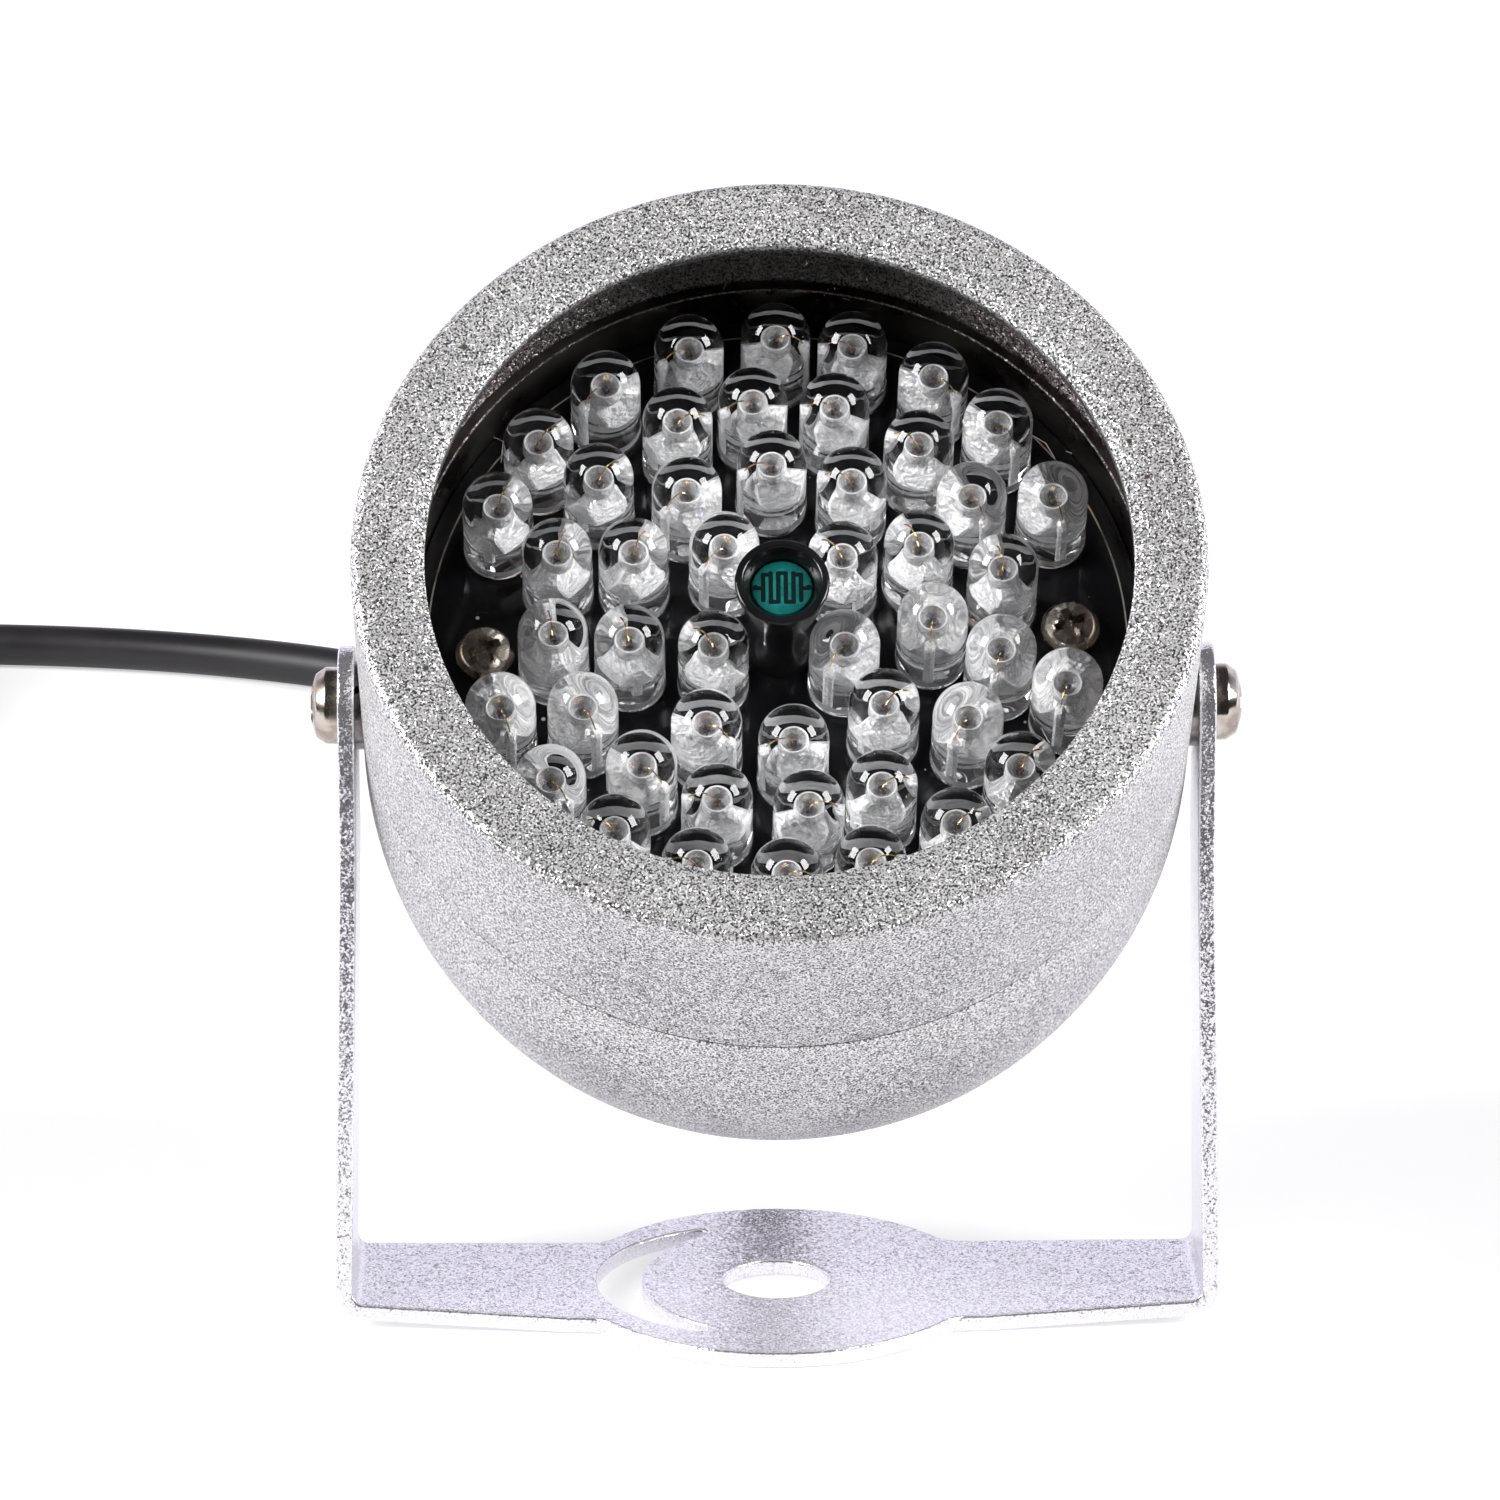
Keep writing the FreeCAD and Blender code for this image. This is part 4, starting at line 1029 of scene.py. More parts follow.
@dataclass
class Cable:
    """The free cable: out of the grommet, along the floor, into a put-away coil, to its socket.

    Args:
        radius: The cable's radius, in millimetres.
        grommet_tip: Where it leaves the grommet, along the lamp's axis.
        first_run: Length of the straight start.
        lead: Route points that the tilting head moves.
        run: Route points along the floor.
        coil_x: The coil's centre, to the right of the lamp.
        coil_y: The coil's centre, behind the lamp.
        coil_r: Radius of the coil's control points.
        coil_points: Control points in one turn.
        coil_turns: How many turns the coil has.
        pitch: How much higher each turn lies.
        step_shift: Share of a turn by which the first step up comes early.
        step_part: Share of a turn in which the cable steps up.
        sway: How far the turns sway in and out, in millimetres.
        sway_rate: How fast they sway.
        tail: Route points from the coil to the socket.
        length: The whole cable's length, in metres; not used.
        sides: Vertices around the cable.
    """

    radius: float = 1.85
    grommet_tip: float = -38.497
    first_run: float = 13.0
    lead: tuple[Point, ...] = ((0.0, 54.7, 1.85), (-0.5, 75.0, 1.85), (-2.5, 97.0, 1.85))
    run: tuple[Point, ...] = ((-7.0, 117.5, 1.85), (-17.0, 136.0, 1.85), (-33.0, 150.5, 1.85),
                              (-53.5, 158.6, 1.85), (-76.0, 161.0, 1.85), (-93.0, 160.9, 1.85))
    coil_x: float = -98.0
    coil_y: float = 139.6
    coil_r: float = 21.4
    coil_points: int = 16
    coil_turns: float = 2.25
    pitch: float = 3.76
    step_shift: float = 0.1
    step_part: float = 0.15
    sway: float = 0.25
    sway_rate: float = 2.3
    tail: tuple[Point, ...] = ((-119.3, 134.0, 9.5), (-119.3, 125.0, 9.0), (-119.0, 115.0, 7.2),
                               (-118.6, 105.5, 5.25), (-118.5, 97.0, 5.25))
    length: float = 0.545
    sides: int = 28

    def turns(self) -> list[Point]:
        """The coil's turns: each lies flat, then steps up onto the one below."""
        points = []
        count = round(self.coil_turns * self.coil_points)
        for k in range(1, count):
            share = k / self.coil_points
            whole, part = divmod(share + self.step_shift, 1.0)
            climb = max(0.0, (part - (1.0 - self.step_part)) / self.step_part)
            z = self.radius + self.pitch * (whole + climb * climb * (3 - 2 * climb))
            a = math.radians(90) + math.tau * share
            r = self.coil_r + self.sway * math.sin(self.sway_rate * a)
            points.append((self.coil_x + r * math.cos(a), self.coil_y + r * math.sin(a), z))
        return points

    def route(self) -> list[Point]:
        """Every control point, from the grommet to the socket."""
        start = [POSE.on_axis(self.grommet_tip), POSE.on_axis(self.grommet_tip - self.first_run)]
        return start + list(self.lead + self.run) + self.turns() + list(self.tail)

    def line(self) -> list[Vector]:
        """Points read from the route's smooth curve, in millimetres."""
        data = bpy.data.curves.new("cable_route", "CURVE")
        data.dimensions = "3D"
        spline = data.splines.new("NURBS")
        route = self.route()
        spline.points.add(len(route) - 1)
        for target, point in zip(spline.points, route):
            target.co = (*(c * MM for c in point), 1.0)
        spline.order_u = 3
        spline.use_endpoint_u = True
        spline.resolution_u = 8
        holder = bpy.data.objects.new("cable_route", data)
        mesh = bpy.data.meshes.new_from_object(holder)
        line = [v.co / MM for v in mesh.vertices]
        bpy.data.objects.remove(holder)
        bpy.data.curves.remove(data)
        bpy.data.meshes.remove(mesh)
        return line

    def build(self, finishes: Finishes, ends: Sequence[bpy.types.Object]) -> None:
        """Args:
            finishes: The lamp's finishes.
            ends: The pieces on the cable; not used.
        """
        line = self.line()
        form = Form()
        form.tube(line, self.radius, self.sides)
        cable = linked("power_cable", form.mesh("power_cable", Shading.ROUND))
        cable.data.materials.append(finishes.cable)
        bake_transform(cable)
        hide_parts("cable_lead", "cable_run", "cable_coil", "cable_tail")
        log.info("power_cable: %d points", len(line))


@dataclass
class LampHead:
    """The bezel, the rear housing and the grommet, turned about the lamp's axis."""

    radius: float = 29.0
    rim_ahead: float = 22.8
    opening: float = 24.0
    bevel: float = 1.15
    bevel_depth: float = 0.45
    rim_round: float = 0.7
    lip: float = 1.5
    bore: float = 26.5
    chamfer: float = 0.3
    neck_end: float = 13.7
    neck_wall: float = 1.0
    thread_pitch: float = 0.58
    thread_depth: float = 0.28
    thread_fade: float = 0.5
    thread_rows: int = 8
    dome_behind: float = 3.9
    cavity: float = 22.6
    cavity_dome: float = 26.8
    cable_seat: float = -32.467
    cavity_floor: float = -29.867
    hole: float = 3.0
    segments: int = 192
    seat_r: float = 3.7
    seat_x: float = 28.5
    screw_r: float = 1.55
    screw_tip: float = 24.2

    def bezel(self, finishes: Finishes) -> None:
        """The front ring with its threaded bore."""
        top = self.rim_ahead
        profile = rounded([
            (self.opening, top - self.lip, 0.12),
            (self.opening, top - self.bevel_depth, 0.12),
            (self.opening + self.bevel, top - 0.16, 0.12),
            (self.radius - 1.4, top - 0.02, 14.0),
            (self.radius, top, self.rim_round),
            (self.radius, SEAM, self.chamfer),
            (self.bore, SEAM, 0.15),
            (self.bore, top - self.lip, 0.0),
        ], 7)[:-1]
        form = Form()
        place = POSE.matrix()
        turns = [math.tau * k / self.segments for k in range(self.segments)]
        rows = [form.add(ring(r, z, self.segments), place) for r, z in profile]
        low, high = self.neck_end - 0.6, top - self.lip - self.thread_fade
        steps = round((high - low) / self.thread_pitch * self.thread_rows)
        for k in range(steps + 1):
            z = low + (high - low) * k / steps
            fade = min(1.0, (z - low) / self.thread_fade, (high - z) / self.thread_fade)
            points = []
            for a in turns:
                turn = (z / self.thread_pitch - a / math.tau) % 1.0
                r = self.bore - fade * self.thread_depth * abs(2 * turn - 1)
                points.append((r * math.cos(a), r * math.sin(a), z))
            rows.append(form.add(points, place))
        rows.append(form.add(ring(self.bore, top - self.lip, self.segments), place))
        form.skin(rows, True)
        bezel = form.piece("bezel_ring", Body.HEAD, [finishes.casting], Shading.TURNED)
        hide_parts("front_bezel")

    def housing(self, finishes: Finishes) -> None:
        """The domed rear housing with its neck and the flat seats of the pivot screws."""
        r = self.radius
        neck = self.bore - 0.05
        dome = arc(0, -self.dome_behind, r, 0, -math.degrees(math.acos(5.0 / r)), 40)
        inner_start = math.degrees(math.asin((self.cavity_floor + self.dome_behind) / self.cavity_dome))
        inner_end = -math.degrees(math.acos(self.cavity / self.cavity_dome))
        inner = arc(0, -self.dome_behind, self.cavity_dome, inner_start, inner_end, 24)
        profile = (
            [(neck - self.neck_wall, self.neck_end - 0.1), (neck - self.neck_wall + 0.1, self.neck_end),
             (neck - 0.3, self.neck_end), (neck, self.neck_end - 0.3), (neck, SEAM),
             (r - self.chamfer, SEAM), (r - 0.1, SEAM - 0.08), (r, SEAM - self.chamfer)]
            + dome
            + [(self.hole, self.cable_seat), (self.hole, self.cavity_floor)]
            + inner
            + [(self.cavity, BOARD_BACK), (neck - self.neck_wall, BOARD_BACK)]
        )
        form = Form()
        form.lathe(profile, self.segments, POSE.matrix(), closed=True)
        housing = form.piece("housing_shell", Body.HEAD, [finishes.casting, finishes.neck])
        beyond = 40
        seat = [(0, self.seat_x), (self.seat_r - 0.08, self.seat_x), (self.seat_r, self.seat_x + 0.08),
                (self.seat_r, beyond), (0, beyond)]
        drill = [(0, self.screw_tip), (self.screw_r, self.screw_tip), (self.screw_r, beyond), (0, beyond)]
        for side in (1, -1):
            for outline, segments in ((seat, 64), (drill, 40)):
                cutter = Form()
                cutter.lathe(outline, segments, POSE.matrix() @ spun_about("Y", 90 * side))
                carve(housing, cutter)
        self.bare_neck(housing)
        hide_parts("rear_housing")

    def bare_neck(self, housing: bpy.types.Object) -> None:
        """Gives the neck's unpainted inside its own finish."""
        back, axis = Vector(POSE.on_axis(0.0)) * MM, POSE.axis()
        for face in housing.data.polygons:
            off = face.center - back
            height = off.dot(axis)
            reach = (off - axis * height).length
            inside = BOARD_BACK + 0.1 < height / MM and reach / MM < self.bore - 0.2
            on_edge = height / MM > self.neck_end - 0.12 and reach / MM < self.bore - 0.98
            if inside and not on_edge:
                face.material_index = 1

    def grommet(self, finishes: Finishes) -> None:
        """The cable's moulded grommet with its ribbed, tapered tail."""
        seat, floor = self.cable_seat, self.cavity_floor
        back = seat - 1.03
        long, ribs = 5.0, 4
        tip = back - long
        tail: list[Flat] = [(1.9, tip), (2.5, tip)]
        for k in range(ribs):
            z0, z1 = (tip + long * n / ribs for n in (k, k + 1))
            r0, r1 = (2.6 + 1.0 * n / ribs for n in (k, k + 1))
            tail += [(r0, z0 + 0.08), (r0 + 0.02, z0 + 0.1), (r1 - 0.1, z1 - 0.42), (r1 - 0.42, z1 - 0.34),
                     (r1 - 0.42, z1 - 0.06)]
        profile = (
            tail
            + rounded([(3.5, back, 0.0), (4.6, back, 0.25), (4.6, seat, 0.2), (2.95, seat, 0.0)], 4)
            + [(2.95, floor), (4.0, floor), (4.0, floor + 1.2), (1.9, floor + 1.2)]
        )
        form = Form()
        form.lathe(profile, 72, POSE.matrix(), closed=True)
        grommet = form.piece("strain_relief", Body.HEAD, [finishes.cable])
        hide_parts("cable_grommet")

    def build(self, finishes: Finishes) -> None:
        """Builds the turned parts of the head."""
        self.bezel(finishes)
        self.housing(finishes)
        self.grommet(finishes)


@dataclass
class Diodes:
    """The forty-eight clear diodes, in eight strings, with the metal inside them."""

    first_ring: float = 5.6
    pitch: float = 5.0
    rings: tuple[tuple[int, ...], ...] = (
        (38, 131, 217, 323),
        (24, 61, 92, 126, 159, 196, 242, 275, 312, 353),
        (9, 31, 51, 75, 96, 116, 142, 166, 189, 211, 233, 254, 277, 296, 325, 346),
        (23, 42, 58, 75, 90, 107, 125, 143, 159, 203, 221, 237, 254, 271, 287, 305, 322, 342),
    )
    strings: int = 8
    body_r: float = 2.425
    flange_r: float = 2.475
    flange_t: float = 1.0
    height: float = 8.6
    spread: float = 1.27
    cup_z: float = 6.05
    cup_r: float = 0.66
    segments: int = 48
    cup_sides: int = 32
    plate: float = 0.5
    thread_steps: int = 10
    thread_rise: float = 0.62
    thread_r: float = 0.035
    lead_r: float = 0.25
    foot_outline: tuple[Flat, ...] = ((2.2, 0.2), (2.25, 0.34), (2.29, 0.56), (2.34, 0.98))
    foot_sides: int = 18
    foot_sway: float = 0.08
    foot_lift: float = 0.1

    def places(self) -> list[Flat]:
        """Every diode's radius and angle on the board, ring by ring."""
        return [(self.first_ring + n * self.pitch, angle)
                for n, angles in enumerate(self.rings) for angle in angles]

    def lens(self, form: Form, place: Matrix) -> None:
        """The resin body with its flange and dome."""
        shoulder = self.height - self.body_r
        rim = rounded([(0.0, 0.02, 0.0), (self.flange_r, 0.02, 0.1), (self.flange_r, self.flange_t, 0.02),
                       (self.body_r, self.flange_t, 0.02), (self.body_r, shoulder, 0.0)], 3)
        dome = arc(0, shoulder, self.body_r, 0, 90, 14)
        profile = rim[:-1] + dome[:-1] + [(0.0, self.height)]
        form.lathe(profile, self.segments, place)

    def metal(self, form: Form, place: Matrix, turn: float) -> None:
        """The lead frame: a post with the cup, a post with a flag, the chip and its thread of gold.

        Args:
            form: The form that they are added to.
            place: The diode's place.
            turn: Its turn about its own axis, in degrees.
        """
        here = place @ spun_about("Z", turn)
        top, cup = self.cup_z, self.cup_r
        form.lathe([(0, top - 0.42), (0.27, top - 0.42), (0.31, top - 0.39), (cup - 0.1, top - 0.04),
                    (cup - 0.09, top)], self.cup_sides, here, slot=Inside.CUP)
        form.lathe([(cup - 0.09, top), (cup - 0.07, top + 0.04), (cup - 0.02, top + 0.04),
                    (cup, top - 0.02)], self.cup_sides, here, slot=Inside.FROSTED)
        form.lathe([(cup, top - 0.02), (cup - 0.05, top - 0.62), (cup - 0.12, top - 0.74),
                    (0, top - 0.74)], self.cup_sides, here, slot=Inside.FRAME)
        anvil = [(1.5, 3.1), (1.5, top - 1.5), (1.25, top - 1.0), (0.62, top - 0.6),
                 (-0.5, top - 0.8), (-0.62, top - 1.0), (-0.55, 3.5), (-0.3, 3.05)]
        form.slab(anvil, self.plate, here, 0.1, flare=0.34)
        form.block((self.plate, self.plate, 3.1), (self.spread, 0, 1.6), here, 0.1)
        post = [(-1.52, 0.05), (-1.02, 0.05), (-1.02, 4.4), (-0.92, 4.6), (-0.92, top - 0.5),
                (-1.02, top - 0.35), (-1.4, top - 0.6), (-1.6, top - 1.1), (-1.62, 4.7), (-1.52, 4.5)]
        form.slab(post, self.plate, here, 0.14)
        form.block((0.26, 0.26, 0.16), (0, 0, top - 0.34), here, 0.02, Inside.CHIP)
        form.block((0.13, 0.13, 0.02), (0, 0, top - 0.25), here, 0.004, Inside.GOLD)
        start, end = Vector((0, 0, top - 0.24)), Vector((-1.16, 0, top - 0.36))
        shares = [k / self.thread_steps for k in range(self.thread_steps + 1)]
        line = [start.lerp(end, s) + Vector((0, 0, self.thread_rise * math.sin(math.pi * s) ** 0.7))
                for s in shares]
        form.tube(line, self.thread_r, 6, here, Inside.GOLD)
        low, r = BOARD_BACK - BOARD_TOP, self.lead_r
        for side in (1, -1):
            base = here @ Matrix.Translation((side * self.spread, 0, 0))
            form.lathe([(0, low - 1.0), (r - 0.03, low - 1.0), (r, low - 0.95), (r, 0.05), (0, 0.05)], 10,
                       base, slot=Inside.FRAME)
            form.lathe([(r, low - 0.72), (0.34, low - 0.5), (0.5, low - 0.2), (0.75, low - 0.01),
                        (r, low - 0.01)], 14, base, closed=True, slot=Inside.SOLDER)

    def foot(self, form: Form, place: Matrix, rand: random.Random) -> None:
        """The frosted, uneven foot of the resin, which throws the light back up.

        Args:
            form: The form that it is added to.
            place: The diode's place.
            rand: The seeded source of its unevenness.
        """
        rows = []
        for r, z in self.foot_outline:
            points = []
            for k in range(self.foot_sides):
                a = math.tau * k / self.foot_sides + rand.uniform(-self.foot_sway, self.foot_sway)
                lift = rand.uniform(0.0, self.foot_lift) * (r < 2.3)
                points.append((r * math.cos(a), r * math.sin(a), z + lift))
            rows.append(form.add(points, place))
        form.skin(rows, False, Inside.FROSTED)

    def build(self, finishes: Finishes) -> None:
        """Builds each string's lenses and metal."""
        places = self.places()
        rand = random.Random(48)
        cuts = [round(k * len(places) / self.strings) for k in range(self.strings + 1)]
        for number, (first, last) in enumerate(zip(cuts, cuts[1:]), 1):
            lenses, metal = Form(), Form()
            for r, angle in places[first:last]:
                place = POSE.matrix() @ around(r, angle, BOARD_TOP)
                self.lens(lenses, place)
                self.metal(metal, place, angle + 90 + 180 * rand.randint(0, 1))
                self.foot(metal, place, rand)
            lens = lenses.piece("diode_lenses_%d" % number, Body.HEAD, [finishes.resin], Shading.TURNED)
            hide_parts("diode_string_%d" % number)
            inner = metal.piece("diode_frames_%d" % number, Body.HEAD,
                                [finishes.frame, finishes.chip, finishes.gold, finishes.solder,
                                 finishes.frosted, finishes.cup])


@dataclass
class Sensor:
    """The light sensor in its flared black sleeve."""

    x: float = 0.2
    y: float = -0.6
    height: float = 10.3
    foot_r: float = 2.2
    top_r: float = 3.25
    straight: float = 4.5
    wall: float = 0.55
    face_r: float = 2.15
    thick: float = 1.6
    sink: float = 1.0
    track_w: float = 0.3
    track_tall: float = 1.25
    track_lift: float = 0.012
    step: float = 0.485

    def place(self) -> Matrix:
        """The sensor's foot on the board."""
        return POSE.matrix() @ Matrix.Translation((self.x, self.y, BOARD_TOP))

    def sleeve(self, finishes: Finishes) -> None:
        """The shrunk black sleeve, slightly wavy where it flares."""
        seat = self.height - self.sink
        foot, top, h, w = self.foot_r, self.top_r, self.height, self.wall
        profile = (
            [(foot - w, 0.02), (foot, 0.02), (foot + 0.02, 0.3), (foot, 1.4), (foot - 0.02, 3.2),
             (foot, self.straight), (foot + 0.12, self.straight + 0.9), (foot + 0.36, self.straight + 2.2),
             (foot + 0.66, self.straight + 3.6), (top - 0.12, h - 0.9)]
            + rounded([(top - 0.02, h - 0.4, 0.0), (top, h, 0.22), (top - w, h, 0.22),
                       (self.face_r + 0.05, seat, 0.1), (self.face_r + 0.05, seat - self.thick, 0.0)], 4)
            + [(foot - w, seat - self.thick)]
        )
        form = Form()
        form.lathe(profile, 64, self.place(), closed=True)
        piece = form.piece("sensor_tube", Body.HEAD, [finishes.sleeve], Shading.ROUND)
        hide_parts("sensor_sleeve")

    def track(self, form: Form, top: float) -> None:
        """The winding dark track across the sensor's face."""
        half = self.track_w / 2
        reach = self.face_r - 0.35
        z = top + self.track_lift
        count = round(2 * reach / self.step)
        here = self.place()
        bars = [-reach + 2 * reach * k / count for k in range(count + 1)]
        talls = [min(math.sqrt(max(0.05, reach * reach - x * x)) * 0.9, self.track_tall) for x in bars]
        for k, (x, tall) in enumerate(zip(bars, talls)):
            bar = rounded([(x + a * half, b * tall, half * 0.9)
                           for a, b in ((1, 1), (-1, 1), (-1, -1), (1, -1))], 4)
            form.face(form.add([(a, b, z) for a, b in bar], here), 1)
            if k < count:
                y = (1 if k % 2 else -1) * (min(tall, talls[k + 1]) - half)
                link = ((x, y - half), (bars[k + 1], y - half), (bars[k + 1], y + half), (x, y + half))
                form.face(form.add([(a, b, z + 0.001) for a, b in link], here), 1)

    def build(self, finishes: Finishes) -> None:
        """Builds the sleeve, the sensor's body, its track and its leads."""
        self.sleeve(finishes)
        top = self.height - self.sink
        form = Form()
        form.lathe([(0, top - self.thick), (self.face_r, top - self.thick), (self.face_r, top - 0.25),
                    (self.face_r - 0.12, top - 0.06), (self.face_r - 0.3, top), (0, top)], 64, self.place(),
                   slot=0)
        self.track(form, top)
        for side in (1, -1):
            line = [self.place() @ Vector((side, 0, z)) for z in (-2.6, -1.6, 0, 3, top - self.thick + 0.1)]
            form.tube(line, 0.25, 12, slot=2)
        piece = form.piece("sensor_cell", Body.HEAD, [finishes.film, finishes.track, finishes.solder])
        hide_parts("light_sensor")


@dataclass(frozen=True)
class PanScrew:
    """A pan head screw with a cross recess.

    Args:
        head_r: Radius of the head.
        head_t: Height of the head.
        shank_r: Radius of the shank.
        length: Length of the shank.
        pitch: Pitch of the thread.
        edge: Width of the broken edges.
        steps: Height, reach and half width of the cross at each depth, as shares of the head.
    """

    head_r: float
    head_t: float
    shank_r: float
    length: float
    pitch: float = 0.5
    edge: float = 0.05
    steps: tuple[Point, ...] = ((0.36, 0.3, 0.1), (1.0, 0.6, 0.15), (1.3, 0.72, 0.17))

    def cutter(self, place: Matrix) -> Form:
        """The tapered cross that is pressed into the head."""
        form = Form()
        rows = []
        for z, reach, half in self.steps:
            a, b = self.head_r * reach, self.head_r * half
            cross = []
            for turn in range(4):
                spin = Matrix.Rotation(math.radians(90 * turn), 2)
                cross += [spin @ Vector(p) for p in ((a, -b), (a, b), (b, b))]
            rows.append(form.add([(x, y, self.head_t * z) for x, y in cross], place))
        form.capped(rows)
        return form

    def build(self, name: str, node: str, place: Matrix, finishes: Finishes) -> None:
        """Makes one screw.

        Args:
            name: The piece's name.
            node: The solid that it stands for.
            place: Its place, with the head's underside on z = 0.
            finishes: The lamp's finishes.
        """
        r, t = self.head_r, self.head_t
        head = rounded([(self.shank_r * 0.9, 0.0, 0.0), (r, 0.0, 0.08), (r, t * 0.46, 0.3),
                        (r * 0.82, t * 0.83, 0.5), (r * 0.42, t, 0.6), (0.0, t, 0.0)], 5)
        shank: list[Flat] = [(0.0, -self.length), (self.shank_r * 0.7, -self.length)]
        count = round((self.length - 0.6) / self.pitch)
        for k in range(count):
            z = -self.length + 0.3 + k * self.pitch
            shank += [(self.shank_r * 0.84, z), (self.shank_r, z + self.pitch / 2)]
        shank += [(self.shank_r * 0.9, -0.25)]
        form = Form()
        form.lathe(shank + head, 48, place)
        screw = form.piece(name, Body.HEAD, [finishes.nickel], Shading.TURNED)
        carve(screw, self.cutter(place))
        edge = screw.modifiers.new("edge", "BEVEL")
        edge.width = self.edge * MM
        edge.segments = 2
        edge.limit_method = "ANGLE"
        edge.angle_limit = math.radians(35)
        settle(screw)
        smooth(screw.data, Shading.TURNED)
        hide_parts(node)


@dataclass
class Screws:
    """The two board screws and the two pivot screws."""

    board: PanScrew = PanScrew(2.05, 1.5, 1.1, 6.0)
    pivot: PanScrew = PanScrew(2.7, 1.95, 1.5, 6.0)
    board_r: float = 20.2
    board_angles: tuple[int, int] = (2, 183)
    board_turn: float = 20.0
    arm_x: float = 30.6
    pivot_turn: float = 30.0

    def build(self, finishes: Finishes) -> None:
        """Builds all four."""
        for side, angle in zip(("right", "left"), self.board_angles):
            spot = around(self.board_r, angle, BOARD_TOP)
            place = POSE.matrix() @ spot @ spun_about("Z", angle + self.board_turn)
            self.board.build("board_fixing_" + side, "board_screw_" + side, place, finishes)
        for side, sign in (("right", 1), ("left", -1)):
            turn = spun_about("Y", 90 * sign) @ spun_about("Z", self.pivot_turn)
            place = POSE.matrix() @ Matrix.Translation((sign * self.arm_x, 0, 0)) @ turn
            self.pivot.build("pivot_fixing_" + side, "pivot_screw_" + side, place, finishes)


